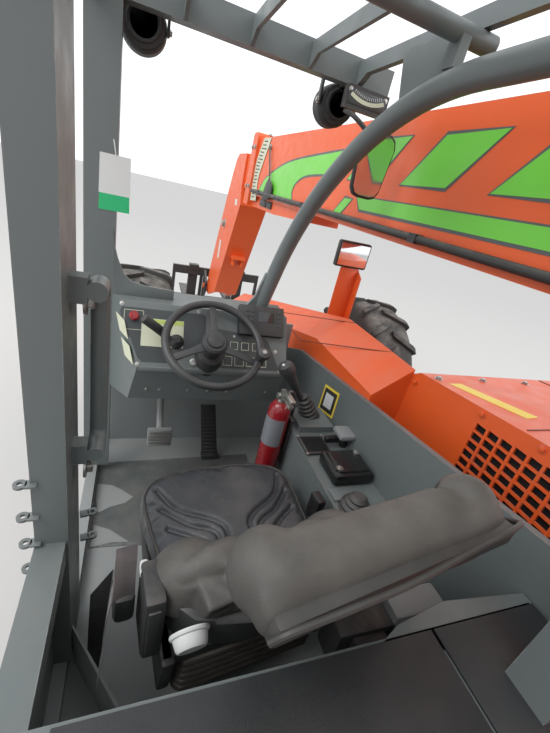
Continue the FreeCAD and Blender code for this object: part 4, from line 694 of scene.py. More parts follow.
def make_hand_wheel():
    """Steering wheel: moulded rim, three dished spokes, hub cap and spinner knob."""
    fresh()
    bpy.ops.mesh.primitive_torus_add(major_radius=WHEEL_R, minor_radius=0.0145, major_segments=96, minor_segments=20,
                                     location=HUB, rotation=HUB_UP.to_track_quat("Z", "Y").to_euler())
    rim = placed(bpy.context.object)
    rim.name = "hand_wheel_rim"
    side = Vector((1, 0, 0))
    ahead = HUB_UP.cross(side)
    spokes = []
    for degrees in (90, 205, 335):
        turn = math.radians(degrees)
        out = side * math.cos(turn) + ahead * math.sin(turn)
        across = out.cross(HUB_UP)
        outline = [HUB + out * r + across * w - HUB_UP * d for r, w, d in
                   ((0.026, -0.020, 0.004), (0.090, -0.012, 0.007), (0.170, -0.013, 0.004), (0.170, 0.013, 0.004),
                    (0.090, 0.012, 0.007), (0.026, 0.020, 0.004))]
        spokes.append(plate("hand_wheel_spoke", outline, HUB_UP * 0.008, bevel=0.002))
    hub = spun("hand_wheel_hub", [(0, -0.026), (0.030, -0.026), (0.036, -0.014), (0.047, -0.006), (0.047, 0.008),
                                  (0.040, 0.016), (0, 0.018)], HUB, HUB_UP, 48)
    cap = spun("hand_wheel_cap", [(0, 0.0185), (0.031, 0.0175), (0.029, 0.023), (0, 0.027)], HUB, HUB_UP, 48)
    knob_turn = math.radians(-20)
    grip = HUB + (side * math.cos(knob_turn) + HUB_UP.cross(side) * math.sin(knob_turn)) * (WHEEL_R + 0.002)
    knob = spun("spinner_knob", [(0, 0.012), (0.012, 0.012), (0.010, 0.024), (0.021, 0.034), (0.025, 0.048),
                                 (0.021, 0.060), (0.010, 0.066), (0, 0.0665)], grip, HUB_UP, 40)
    disc = spun("spinner_disc", [(0, 0.0662), (0.009, 0.0665), (0.008, 0.0685), (0, 0.069)], grip, HUB_UP, 32)
    clamp = spun("spinner_clamp", [(0, -0.017), (0.018, -0.016), (0.020, -0.004), (0.018, 0.013), (0, 0.0135)],
                 grip, HUB_UP, 32)
    wheel = joined("hand_wheel", [rim, hub, clamp] + spokes)
    for piece, look in ((wheel, WHEEL_PLASTIC), (cap, PLASTIC), (knob, PLASTIC), (disc, STEEL)):
        settled(piece, "hand_wheel", look)
    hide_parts("steering_wheel")


def on_dash(x, down, out=0.0):
    """A place on the dash face, by its X, how far down the face it is and how far out."""
    return Vector((x, 0, 0)) + DASH_EDGE + DASH_DOWN * down + DASH_OUT * out


def dash_film(name, corners, look, out=0.0, thick=FILM, bevel=0.0):
    """A thin plate on the dash face, its corners given by X and the distance down."""
    piece = plate(name, [on_dash(x, down, out) for x, down in corners], DASH_OUT * thick, bevel)
    return settled(piece, "chassis", look)


def dash_square(name, x, down, width, height, look, out=0.0, thick=FILM, bevel=0.0):
    """A rectangular plate on the dash face about its middle."""
    w, h = width / 2, height / 2
    corners = [(x - w, down - h), (x + w, down - h), (x + w, down + h), (x - w, down + h)]
    return dash_film(name, corners, look, out, thick, bevel)


def make_dash_details():
    """Overlays, switches, display, direction lever, blank cards and screws of the dash."""
    dash_film("dash_overlay_left", [(-1.112, 0.024), (-0.815, 0.024), (-0.806, 0.034), (-0.806, 0.118), (-0.858, 0.182),
                                    (-0.930, 0.222), (-1.036, 0.222), (-1.050, 0.208), (-1.118, 0.040)], OVERLAY)
    dash_film("dash_overlay_right", [(-0.760, 0.074), (-0.560, 0.098), (-0.545, 0.110), (-0.497, 0.222),
                                     (-0.505, 0.230), (-0.770, 0.230)], OVERLAY)
    for index in range(4):
        dash_frame("switch_frame", -0.715 + 0.048 * index, 0.200, 0.036, 0.036)
    for index in range(3):
        dash_frame("lamp_frame", -0.690 + 0.046 * index, 0.138, 0.030, 0.030)
    dash_frame("key_frame", -1.070, 0.070, 0.066, 0.072)
    dash_square("blank_card", -0.966, 0.112, 0.152, 0.104, CARD, FILM)
    dash_square("blank_card_head", -0.966, 0.070, 0.150, 0.016, CARD_HEAD, FILM + 0.0008)
    red = spun("red_knob", [(0, 0), (0.011, 0), (0.011, 0.008), (0.017, 0.010), (0.0175, 0.018), (0.013, 0.023),
                            (0, 0.024)], on_dash(-1.069, 0.058, FILM), DASH_OUT, 32)
    settled(red, "chassis", RED)
    for x, down in ((-1.113, 0.013), (-1.050, 0.232), (-0.835, 0.014), (-0.690, 0.100), (-0.780, 0.236),
                    (-0.512, 0.150), (-0.49, 0.235)):
        screw(on_dash(x, down), DASH_OUT, 0.0055, "chassis")
    key = spun("key_switch", [(0, 0), (0.014, 0), (0.014, 0.006), (0.009, 0.008), (0, 0.008)],
               on_dash(-0.849, 0.214), DASH_OUT, 32)
    settled(key, "chassis", STEEL)
    housing = plate("display_box", [(-0.678, -0.030, 0), (-0.487, -0.030, 0), (-0.487, 0.092, 0), (-0.678, 0.092, 0)],
                    (0, 0, 0.034))
    for vertex in housing.data.vertices:
        vertex.co = on_dash(vertex.co.x, vertex.co.y, vertex.co.z - 0.004)
    settled(rounded(housing, 0.004), "chassis", PLASTIC)
    dash_square("display_screen", -0.566, 0.016, 0.068, 0.042, SCREEN, 0.0305, 0.0012)
    for x in (-0.648, -0.626, -0.510):
        for row in range(4):
            dash_square("display_button", x, -0.006 + 0.018 * row, 0.016, 0.011, OVERLAY, 0.0305, 0.002, 0.001)
    foot = on_dash(-0.915, 0.140)
    boot = spun("direction_boot", [(0.030, 0), (0.026, 0.006), (0.027, 0.012), (0.021, 0.018), (0.022, 0.024),
                                   (0.015, 0.030), (0.016, 0.036), (0.010, 0.044), (0, 0.046)], foot, DASH_OUT, 32)
    stalk_end = foot + Vector((-0.034, -0.012, 0.026))
    grip_end = foot + Vector((-0.125, -0.044, 0.102))
    stalk = rod("direction_stalk", foot + DASH_OUT * 0.03, stalk_end, 0.006)
    grip = rod("direction_grip", stalk_end, grip_end, 0.0170, 32, bevel=0.008)
    for piece in (boot, stalk, grip):
        settled(piece, "chassis", PLASTIC)
    for height in (0.058, 0.140):
        strip = [(x, down) for x, down in ((0, height), (0.036, height + 0.010), (0.036, height + 0.070),
                                           (0, height + 0.060))]
        cheek_start = Vector((-1.163, -0.790, 1.640))
        along = Vector((0.117, -0.212, 0)).normalized()
        out = Vector((-0.212, -0.117, 0)).normalized()
        corners = [cheek_start + along * (0.035 + x * 1.6 + down * 0.55) - Vector((0, 0, 1)) * down + out * 0.0006
                   for x, down in strip]
        settled(plate("cheek_strip", corners, out * 0.001), "chassis", CARD)
    underside = block("dash_lip", (-1.046, -0.986, 1.412), (-0.462, -0.974, 1.430), bevel=0.003)
    settled(underside, "chassis", GREY)
    for x in (-1.01, -0.96, -0.85, -0.77, -0.69, -0.52):
        screw(Vector((x, -0.944, 1.312)), Vector((0, -0.96, -0.28)).normalized(), 0.006, "chassis")


def dash_frame(name, x, down, width, height, line=0.0016):
    """An outlined square on an overlay, as four thin lines."""
    w, h = width / 2, height / 2
    bars = []
    for bar_x, bar_down, bar_w, bar_h in ((x, down - h, width, line), (x, down + h, width, line),
                                          (x - w, down, line, height), (x + w, down, line, height)):
        a, b = bar_w / 2, bar_h / 2
        corners = [(bar_x - a, bar_down - b), (bar_x + a, bar_down - b), (bar_x + a, bar_down + b),
                   (bar_x - a, bar_down + b)]
        bars.append(plate(name, [on_dash(cx, cd, FILM) for cx, cd in corners], DASH_OUT * 0.0006))
    return settled(joined(name, bars), "chassis", CARD, smooth=0)


def screw(place, out, radius, body, look=None):
    """A domed screw head on a washer."""
    head = spun("screw", [(0, 0), (radius * 1.5, 0), (radius * 1.5, radius * 0.22), (radius, radius * 0.25),
                          (radius * 0.9, radius * 0.7), (radius * 0.4, radius * 0.85), (0, radius * 0.85)],
                place, out, 16)
    return settled(head, body, look or STEEL)


def hex_bolt(place, out, radius, body, look=None, washer=1.35):
    """A hexagon bolt head on its washer."""
    out = Vector(out).normalized()
    place = Vector(place)
    disc = rod("bolt_washer", place - out * 0.001, place + out * radius * 0.22, radius * washer, 32)
    head = rod("bolt_head", place + out * radius * 0.2, place + out * radius * 0.95, radius, 6, bevel=radius * 0.08)
    return settled(joined("hex_bolt", [disc, head]), body, look or STEEL)


# Floor, engine cover and tail, where details stand on them
FLOOR_Z = 0.770
HOOD_LEFT = -0.120
HOOD_RIGHT = 1.090
HOOD_FOLD = (-1.330, 1.645)
HOOD_RISE = 0.155 / 1.360
TAIL_Y = -4.070

# Tyres and wheels: the wheel's middle, and the tread's sizes
WHEEL_X = 1.030
AXLE_Z = 0.690
WHEELS = (("front_left", -1, 0.650), ("front_right", 1, 0.650), ("rear_left", -1, -2.750), ("rear_right", 1, -2.750))
TREAD_R = 0.690
LUG_PAIRS = 16
LUG_TURN = 0.4375
LUG_INNER = -0.014
LUG_OUTER = 0.212
LUG_WIDTH = 0.058
LUG_START = -0.1014
LUG_RUN = 0.1448
NUTS = 10
NUT_RING = 0.160
RIM_FACE = 0.900


def tread_lug(row):
    """One slanted lug of a row, from the tread's middle to its shoulder, at the bottom of a wheel at the origin."""
    fresh()
    bpy.ops.mesh.primitive_cube_add(size=1)
    piece = bpy.context.object
    piece.name = "tread_lug"
    bpy.ops.object.mode_set(mode="EDIT")
    bpy.ops.mesh.subdivide(number_cuts=5)
    bpy.ops.object.mode_set(mode="OBJECT")
    places, unused = vertices(piece)
    across, along, up = (places + 0.5).T
    x = LUG_INNER + across * (LUG_OUTER - LUG_INNER)
    run = LUG_START + across * LUG_RUN + along * LUG_WIDTH + 0.012 * np.sin(math.pi * across)
    shoulder = np.clip((x - 0.150) / 0.062, 0, 1) ** 2
    root = 0.640 - 0.040 * shoulder
    radius = root + up * (TREAD_R - 0.0005 - 0.022 * shoulder - root)
    turn = run / TREAD_R
    put(piece, np.stack((row * x, radius * np.sin(turn), -radius * np.cos(turn)), axis=1))
    only(piece)
    bpy.ops.object.mode_set(mode="EDIT")
    bpy.ops.mesh.select_all(action="SELECT")
    bpy.ops.mesh.normals_make_consistent(inside=False)
    bpy.ops.object.mode_set(mode="OBJECT")
    return rounded(piece, 0.005, 2)


def make_wheels():
    """Tyres with round shoulders and chevron lugs, and the wheels' nuts and studs."""
    side = [(0.318, 0.170), (0.335, 0.188), (0.365, 0.194), (0.400, 0.206), (0.440, 0.214), (0.500, 0.217),
            (0.560, 0.2155), (0.600, 0.209), (0.628, 0.196), (0.648, 0.172), (0.6565, 0.130), (0.6585, 0.060)]
    profile = side + [(radius, -x) for radius, x in reversed(side)] + side[:1]
    for name, hand, y in WHEELS:
        centre = Vector((hand * WHEEL_X, y, AXLE_Z))
        carcass = spun("tyre_carcass", profile, (0, 0, 0), (1, 0, 0), 72)
        rows = []
        for index, row in enumerate((-1, 1)):
            lug = tread_lug(row)
            only(lug)
            lug.rotation_euler = (math.radians(360 / LUG_PAIRS * (index / 2 + LUG_TURN)), 0, 0)
            rows.append(ringed(placed(lug), (0, 0, 0), (1, 0, 0), LUG_PAIRS))
        tyre = joined("tyre_" + name + "_tread", [carcass] + rows)
        only(tyre)
        tyre.location = centre
        placed(tyre)
        body = "wheel_" + name
        settled(tyre, body, RUBBER, smooth=40)
        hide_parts("tyre_" + name)
        face = Vector((hand * RIM_FACE, y, AXLE_Z))
        nuts = []
        for index in range(NUTS):
            turn = 2 * math.pi * (index + 0.5) / NUTS
            place = face + Vector((0, math.cos(turn), math.sin(turn))) * NUT_RING - Vector((hand * 0.012, 0, 0))
            out = Vector((hand, 0, 0))
            nuts += [rod("wheel_nut", place, place + out * 0.026, 0.017, 6, bevel=0.002),
                     rod("wheel_stud", place, place + out * 0.044, 0.009, 16, bevel=0.001)]
        settled(joined("wheel_nuts", nuts), body, STEEL)


# Boom's left side and its stripes; an outline gives Y and Z
BOOM_SIDE = -0.150
COLLAR_SIDE = -0.172
STRIPE_BAND = ((-0.590, 2.156), (-3.300, 2.176), (-3.300, 2.122), (-0.640, 2.106))
STRIPE_SWOOSH = (((1.096, 2.040), (1.020, 2.112), (0.878, 2.186), (0.433, 2.288), (-0.324, 2.345)),
                 ((-0.340, 2.238), (-0.080, 2.232), (0.120, 2.214), (0.240, 2.170), (0.278, 2.110), (0.225, 2.040)))
STRIPE_DASH = ((-0.478, 2.140), (-0.549, 2.140), (-0.446, 2.049), (-0.366, 2.049))
SCALE_FRONT = ((1.160, 2.462), (1.290, 2.310), (1.308, 2.145), (1.290, 1.975))
SCALE_REAR = ((0.965, 2.454), (1.070, 2.298), (1.149, 2.153), (1.109, 1.986))
POINTER_ARM = ((0.955, 2.400), (0.925, 2.392), (0.760, 2.165), (0.790, 2.170))
POINTER_WEIGHT = ((0.776, 2.173), (0.663, 2.125), (0.649, 2.043), (0.810, 2.004), (0.875, 2.025), (0.827, 2.128))
STRIPE_BARS = 6
STRIPE_EDGE = 0.012


def decal(name, outline, side, look, body="boom", out=0.0006, thick=0.0006):
    """A thin stripe on a face that looks left, its outline given as Y and Z."""
    corners = [(side - out, y, z) for y, z in outline]
    return settled(plate(name, corners, (-thick, 0, 0)), body, look, smooth=0)


def grown(outline, by):
    """An outline pushed out from its middle by about one distance."""
    middle = Vector((sum(y for y, z in outline), sum(z for y, z in outline))) / len(outline)
    made = []
    for index, (y, z) in enumerate(outline):
        before = Vector(outline[index - 1])
        after = Vector(outline[(index + 1) % len(outline)])
        here = Vector((y, z))
        normal_a = Vector(((here - before).y, -(here - before).x)).normalized()
        normal_b = Vector(((after - here).y, -(after - here).x)).normalized()
        push = (normal_a + normal_b).normalized()
        if sum_turn(outline) < 0:
            push = -push
        made.append(tuple(here + push * by))
    return made


def sum_turn(outline):
    """Twice the outline's area, with its sign."""
    closed = list(outline) + [outline[0]]
    return sum(a[0] * b[1] - b[0] * a[1] for a, b in zip(closed, closed[1:]))


def make_boom_stripes():
    """Green swoosh, band and slanted bars with dark edges along the boom's left side."""
    swoosh = []
    for arc in STRIPE_SWOOSH:
        swoosh += [(point.y, point.z) for point in eased([(0, y, z) for y, z in arc])]
    shapes = [STRIPE_BAND, swoosh, STRIPE_DASH]
    for index in range(STRIPE_BARS):
        front = -0.62 - 0.44 * index
        shapes.append(((front, 2.380), (front - 0.250, 2.385), (front - 0.080, 2.225), (front + 0.170, 2.222)))
    for index, outline in enumerate(shapes):
        decal("stripe_edge", grown(outline, STRIPE_EDGE), BOOM_SIDE, STRIPE_DARK)
        decal("stripe_green", outline, BOOM_SIDE, STRIPE_GREEN, out=0.0014)


def make_boom_indicator():
    """Curved angle scale and hanging pointer on the boom's left side, and the collar's bolts."""
    left = eased([(0, y, z) for y, z in SCALE_FRONT])
    right = eased([(0, y, z) for y, z in SCALE_REAR])
    decal("angle_scale", [point.yz for point in left] + [point.yz for point in reversed(right)], BOOM_SIDE, CARD,
          out=0.003, thick=0.0015)
    ticks = []
    for step in range(1, len(left) - 1):
        long = 0.30 if step % 3 == 0 else 0.55
        start = left[step].lerp(right[step], 0.15)
        end = left[step].lerp(right[step], 1 - long * 0.6)
        corners = [(BOOM_SIDE - 0.0046, point.y, point.z + rise) for point, rise in
                   ((start, -0.004), (end, -0.004), (end, 0.004), (start, 0.004))]
        ticks.append(plate("tick", corners, (-0.0006, 0, 0)))
    settled(joined("scale_ticks", ticks), "boom", PLASTIC, smooth=0)
    hang = BOOM_SIDE - 0.015
    arm = plate("pointer_arm", [(hang, y, z) for y, z in POINTER_ARM], (-0.003, 0, 0), bevel=0.0008)
    weight = plate("pointer_weight", [(hang, y, z) for y, z in POINTER_WEIGHT], (-0.012, 0, 0), bevel=0.004)
    settled(joined("pointer", [arm, weight]), "boom", BLACK)
    pivot = Vector((BOOM_SIDE, POINTER_ARM[0][0] - 0.006, POINTER_ARM[0][1] - 0.012))
    hex_bolt(pivot, (-1, 0, 0), 0.016, "boom", washer=1.5)
    for z in (2.085, 2.395):
        for y in (1.345, 1.435):
            hex_bolt((COLLAR_SIDE, y, z), (-1, 0, 0), 0.014, "boom")
            hex_bolt((-COLLAR_SIDE, y, z), (1, 0, 0), 0.014, "boom")
    for y in (1.345, 1.435):
        for x in (-0.06, 0.06):
            hex_bolt((x, y, BOOM_TOP), (0, 0, 1), 0.014, "boom")
    for y, width in ((0.760, 0.060), (0.930, 0.090)):
        settled(block("foot_block", (-0.142, y - width, 1.962), (-0.124, y + width, 2.010), bevel=0.004), "boom",
                BLACK)


def make_head_details():
    """Blank plates and bolts on the gooseneck."""
    for y, z, w, h in ((1.900, 1.905, 0.050, 0.030), (2.420, 1.320, 0.045, 0.110), (2.330, 1.640, 0.060, 0.036)):
        decal("head_plate", [(y - w, z - h), (y + w, z - h), (y + w, z + h), (y - w, z + h)], -0.140, PALE_PAINT,
              body="telescope")
    for side in (-1, 1):
        hex_bolt((side * 0.140, 2.330, 1.630), (side, 0, 0), 0.034, "telescope", washer=1.5)


def make_console_details():
    """Covers, boot, levers and plates on the right-hand console, and the joystick."""
    top = 1.300
    pieces = [(block("console_tray", (-0.478, -1.345, top), (-0.376, -1.245, top + 0.010), bevel=0.004), PLASTIC),
              (block("console_switch_box", (-0.446, -1.500, top), (-0.300, -1.368, top + 0.046), bevel=0.012), GLOSS),
              (block("console_switch_lid", (-0.432, -1.486, top + 0.040), (-0.314, -1.382, top + 0.054), bevel=0.008),
               GLOSS),
              # Near-black plate inside the tray: painted shade of the recess.
              (block("console_recess_shade", (-0.470, -1.337, top + 0.008), (-0.384, -1.253, top + 0.0105), bevel=0.001), PAINTED_SHADE),
              (block("lever_neck", (-0.392, -1.308, top + 0.020), (-0.330, -1.284, top + 0.046), bevel=0.008), GLOSS),
              (block("console_plate", (-0.470, -1.556, top), (-0.352, -1.508, top + 0.008), bevel=0.003), GREY),
              (spun("console_gaiter", [(0.052, 0), (0.046, 0.008), (0.047, 0.014), (0.037, 0.022), (0.038, 0.028),
                                       (0.028, 0.036), (0.029, 0.042), (0.018, 0.052), (0, 0.053)],
                    (-0.415, -1.588, top), (0, 0, 1), 40), PLASTIC),
              (block("lever_pad", (-0.350, -1.332, top + 0.046), (-0.264, -1.258, top + 0.070), bevel=0.010), PALE_GREY),
              (rod("lever_stalk", (-0.307, -1.294, top), (-0.307, -1.294, top + 0.050), 0.015), GLOSS)]
    for piece, look in pieces:
        settled(piece, "chassis", look)
    frame_line = [(-0.478, -1.345), (-0.376, -1.345), (-0.376, -1.245), (-0.478, -1.245)]
    for x, y in frame_line:
        screw(Vector((x * 0.97 - 0.012, y * 0.995 - 0.0065, top + 0.010)), (0, 0, 1), 0.004, "chassis")
    for x, y in ((-0.424, -1.470), (-0.322, -1.398)):
        screw(Vector((x, y, top + 0.054)), (0, 0, 1), 0.0075, "chassis")
    base = Vector((-0.387, -1.124, 1.326))
    tilt = Vector((-0.55, 0, 1)).normalized()
    folds = [(0, 0), (0.044, 0)]
    for fold in range(6):
        wide, low = 0.044 - 0.0034 * fold, 0.018 * fold
        folds += [(wide, low + 0.003), (wide, low + 0.010), (wide - 0.009, low + 0.016)]
    boot = spun("stick_boot", folds + [(0.018, 0.118), (0, 0.119)], base - tilt * 0.024, tuple(tilt), 40)
    lean = Vector((-math.sin(STICK_LEAN), 0, math.cos(STICK_LEAN)))
    stalk = rod("stick_stalk", base + lean * 0.040, base + lean * 0.160, 0.012, bevel=0.002)
    top_place = base + lean * 0.145
    knob = spun("stick_knob", [(0, 0), (0.016, 0), (0.018, 0.030), (0.022, 0.060), (0.029, 0.086), (0.031, 0.106),
                               (0.026, 0.121), (0.012, 0.128), (0, 0.129)], top_place, lean, 40)
    for piece in (boot, stalk, knob):
        settled(piece, "chassis", PLASTIC)
    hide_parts("joystick")
    for shift in (-0.010, 0.010):
        button = spun("stick_button", [(0, 0), (0.0055, 0), (0.0055, 0.004), (0.004, 0.0055), (0, 0.006)],
                      top_place + lean * 0.1245 + Vector((shift * 0.6, shift, 0)), lean, 20)
        settled(button, "chassis", PALE)
    middle = Vector((-1.0915, 1.368))
    for name, scale, look, out in (("sign_border", 1.0, SIGN_YELLOW, 0.0006), ("sign_frame", 0.82, PLASTIC, 0.0014),
                                   ("sign_face", 0.52, PALE, 0.0020)):
        outline = [tuple(middle + (Vector(corner) - middle) * scale)
                   for corner in ((-1.032, 1.417), (-1.151, 1.441), (-1.154, 1.322), (-1.029, 1.292))]
        decal(name, outline, -0.290, look, body="chassis", out=out)


def make_extinguisher():
    """Fire extinguisher: red bottle, valve, lever, hose, gauge, its bracket and a wrapped label."""
    base = Vector((-0.540, -1.170, 1.060))
    bottle = spun("bottle", [(0, 0.004), (0.034, 0), (0.041, 0.006), (0.043, 0.018), (0.043, 0.308), (0.040, 0.328),
                             (0.030, 0.345), (0.018, 0.354), (0, 0.356)], base, (0, 0, 1), 56)
    settled(bottle, "chassis", RED)
    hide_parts("extinguisher")
    neck = spun("bottle_neck", [(0, 0.352), (0.017, 0.352), (0.017, 0.366), (0.013, 0.368), (0.013, 0.388), (0, 0.388)],
                base, (0, 0, 1), 32)
    levers = []
    for low, high, tip in ((0.372, 0.384, 0.086), (0.388, 0.408, 0.094)):
        outline = [(-0.012, low), (0.040, low + 0.006), (tip, high - 0.012), (tip, high), (0.036, high), (-0.012, low + 0.012)]
        levers.append(plate("bottle_lever", [base + Vector((-0.010, -x, z)) for x, z in outline], (0.020, 0, 0),
                            bevel=0.002))
    settled(joined("bottle_levers", levers + [neck]), "chassis", STEEL)
    hose = [base + Vector(point) for point in ((0.012, 0.010, 0.376), (0.045, 0.020, 0.380), (0.064, 0.020, 0.330),
                                               (0.062, 0.012, 0.220), (0.056, 0.006, 0.120))]
    settled(tube("bottle_hose", eased(hose), 0.007), "chassis", BELLOWS)
    dial = spun("bottle_dial", [(0, 0), (0.013, 0), (0.013, 0.009), (0, 0.010)], base + Vector((-0.013, 0, 0.377)),
                (-1, 0, 0), 32)
    settled(dial, "chassis", STEEL)
    plate_back = block("bottle_bracket", (-0.490, -1.195, 1.130), (-0.480, -1.145, 1.340), bevel=0.002)
    settled(plate_back, "chassis", BLACK)
    around = [base + Vector((math.cos(turn), math.sin(turn), 0)) * 0.0437 + Vector((0, 0, 0.232))
              for turn in (math.radians(degrees) for degrees in range(-230, -64, 10))]
    settled(ribbon("bottle_label", around, (0, 0, 0.060), 0.0006, 2), "chassis", SILVER_LABEL)


def make_pedals():
    """Brake pedal with its ribbed pad and arm, and the tall ribbed accelerator."""
    pad = block("brake_pad", (-0.990, -0.926, 1.014), (-0.888, -0.914, 1.108), bevel=0.006)
    arm = tube("brake_arm", eased([(-0.940, -0.915, 1.070), (-0.940, -0.850, 1.130), (-0.940, -0.800, 1.220),
                                   (-0.940, -0.790, 1.330)]), 0.014)
    ribs = [block("brake_rib", (-0.986, -0.932, 1.020 + 0.0165 * row), (-0.892, -0.925, 1.029 + 0.0165 * row), bevel=0.002)
            for row in range(5)]
    brake = joined("brake_pedal", [pad, arm])
    settled(brake, "chassis", PALE_GREY)
    settled(joined("brake_ribs", ribs), "chassis", STEEL)
    top, foot = Vector((-0.700, -0.690, 1.080)), Vector((-0.658, -0.735, 0.780))
    out = Vector((0, -1, 0.15)).normalized()
    half = Vector((0.041, 0, 0))
    gas = plate("gas_pedal", [foot - half, foot + half, top + half * 0.92, top - half * 0.92], out * 0.012, bevel=0.004)
    heel = block("gas_heel", (-0.700, -0.750, 0.770), (-0.612, -0.700, 0.800), bevel=0.004)
    settled(joined("gas_pedal", [gas, heel]), "chassis", PLASTIC)
    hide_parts("pedals")
    treads = []
    for step in range(13):
        place = foot.lerp(top, 0.06 + 0.068 * step) + out * 0.0115
        rise = (top - foot).normalized() * 0.010
        treads.append(plate("gas_rib", [place - half * 0.8, place + half * 0.8, place + half * 0.8 + rise,
                                        place - half * 0.8 + rise], out * 0.004, bevel=0.001))
    settled(joined("gas_ribs", treads), "chassis", BELLOWS)


def make_work_lights():
    """Ribbed housings, bezels and lenses of the four work lights."""
    for x, y, z, ahead in ((-0.410, -0.750, 2.428, 1), (-1.090, -0.750, 2.460, 1), (-0.560, -2.160, 2.438, -1),
                           (-1.130, -2.160, 2.438, -1)):
        rear = Vector((x, y + ahead * 0.012, z))
        profile = [(0, 0.000), (0.040, 0.000), (0.046, 0.004)]
        for fin in range(4):
            start = 0.006 + 0.012 * fin
            profile += [(0.050 + 0.004 * fin, start), (0.062 + 0.0015 * fin, start + 0.002),
                        (0.062 + 0.0015 * fin, start + 0.006), (0.052 + 0.004 * fin, start + 0.008)]
        profile += [(0.070, 0.054), (0.070, 0.088), (0.066, 0.090), (0.062, 0.086), (0, 0.084)]
        housing = spun("light_housing", profile, rear, (0, ahead, 0), 56)
        settled(housing, "chassis", BELLOWS)
        lens = spun("light_lens", [(0, 0.0855), (0.060, 0.0865), (0.058, 0.089), (0, 0.093)], rear, (0, ahead, 0), 48)
        settled(lens, "chassis", LENS)
        for side in (-1, 1):
            ear = block("light_ear", (x + side * 0.068, rear.y + ahead * 0.030 - 0.012, z - 0.012),
                        (x + side * 0.076, rear.y + ahead * 0.030 + 0.012, z + 0.075), bevel=0.002)
            settled(ear, "chassis", BLACK)
            hex_bolt((x + side * 0.076, rear.y + ahead * 0.030, z), (side, 0, 0), 0.008, "chassis")


def make_mirrors():
    """Rounded cab mirror with its glass, and the deck mirror's glass and orange bracket."""
    corners = [(0.045, 0.108), (0.066, 0.094), (0.075, 0.066), (0.060, -0.080), (0.046, -0.102), (0.024, -0.108)]
    outline = mirrored([(x, z) for x, z in corners])
    middle = Vector((-0.304, -0.900, 2.251))
    head = plate("cab_mirror_head", [middle + Vector((x, 0.010, z)) for x, z in outline], (0, -0.022, 0), bevel=0.007)
    glass = plate("cab_mirror_glass", [middle + Vector((x * 0.90, -0.0125, z * 0.92)) for x, z in outline],
                  (0, -0.0012, 0))
    settled(head, "chassis", PLASTIC)
    settled(glass, "chassis", MIRROR)
    arm = tube("cab_mirror_arm", eased([(-0.416, -0.811, 2.402), (-0.400, -0.860, 2.385), (-0.345, -0.888, 2.345),
                                        (-0.318, -0.892, 2.300)]), 0.008)
    ball = spun("cab_mirror_ball", [(0, -0.020), (0.012, -0.018), (0.018, -0.006), (0.018, 0.006), (0.012, 0.018),
                                    (0, 0.020)], (-0.330, -0.890, 2.322), (0.4, 0, -1), 32)
    settled(joined("cab_mirror_stay", [arm, ball]), "chassis", BLACK)
    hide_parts("mirrors")
    low, high = Vector((-0.165, -0.586, 1.836)), Vector((0.015, -0.556, 1.962))
    frame_box = block("deck_mirror_head", low, high, bevel=0.010)
    settled(frame_box, "chassis", BLACK)
    face = block("deck_mirror_glass", (low.x + 0.010, low.y - 0.0015, low.z + 0.010),
                 (high.x - 0.010, low.y + 0.001, high.z - 0.010), bevel=0.0005)
    settled(face, "chassis", MIRROR)
    stay = [plate("deck_mirror_plate", [(-0.120, -0.575, 1.450), (-0.011, -0.575, 1.450), (-0.011, -0.575, 1.828),
                                        (-0.036, -0.575, 1.850), (-0.100, -0.575, 1.850), (-0.120, -0.575, 1.830)],
                  (0, 0.008, 0), bevel=0.001),
            plate("deck_mirror_flange", [(-0.011, -0.615, 1.450), (-0.011, -0.567, 1.450), (-0.011, -0.567, 1.828),
                                         (-0.011, -0.615, 1.800)], (-0.007, 0, 0), bevel=0.001),
            plate("deck_mirror_foot", [(-0.120, -0.615, 1.450), (-0.120, -0.575, 1.450), (-0.120, -0.575, 1.560),
                                       (-0.120, -0.615, 1.540)], (0.007, 0, 0), bevel=0.001)]
    settled(joined("deck_mirror_bracket", stay), "chassis", ORANGE)


def make_slope_gauge():
    """Curved slope gauge: cream dial strip and ticks in a black housing."""
    left, right, low, high, face = -0.430, -0.264, 2.414, 2.478, -0.8222
    settled(block("gauge_face", (left + 0.008, face - 0.0015, low + 0.010), (right - 0.008, face, high - 0.010),
                  bevel=0.0004), "chassis", OVERLAY)
    arc_low, arc_high = [], []
    middle = Vector(((left + right) / 2, 2.590))
    for step in range(17):
        turn = math.radians(-26 + 52 * step / 16)
        way = Vector((math.sin(turn), -math.cos(turn)))
        arc_low.append(middle + way * 0.158)
        arc_high.append(middle + way * 0.146)
    strip = [(point.x, face - 0.0017, point.y) for point in arc_low + arc_high[::-1]]
    settled(plate("gauge_strip", strip, (0, -0.001, 0)), "chassis", CARD)
    ticks = []
    for step in range(1, 16, 1):
        turn = math.radians(-26 + 52 * step / 16)
        way = Vector((math.sin(turn), -math.cos(turn)))
        start, end = middle + way * 0.132, middle + way * 0.141
        across = Vector((way.y, -way.x)) * 0.0008
        ticks.append(plate("gauge_tick", [(p.x, face - 0.0016, p.y) for p in (start - across, end - across, end + across,
                                                                            start + across)], (0, -0.0006, 0)))
    settled(joined("gauge_ticks", ticks), "chassis", PALE, smooth=0)
    for x in (left + 0.012, right - 0.012):
        screw(Vector((x, face, high - 0.014)), (0, -1, 0), 0.0055, "chassis")


def eye_lug(place, way, body="chassis"):
    """A flat lug with an eye, sticking out of a post."""
    place, way = Vector(place), Vector(way)
    ring = spun("lug_eye", [(0.0055, 0), (0.0125, 0), (0.0125, 0.006), (0.0055, 0.006), (0.0055, 0)],
                place + way * 0.030, (0, 0, 1), 28)
    across = Vector((-way.y, way.x, 0)) * 0.0105
    tongue = plate("lug_tongue", [place - across, place + way * 0.022 - across, place + way * 0.022 + across,
                                  place + across], (0, 0, 0.006), bevel=0.001)
    settled(joined("hinge_lug", [ring, tongue]), body, GREY)


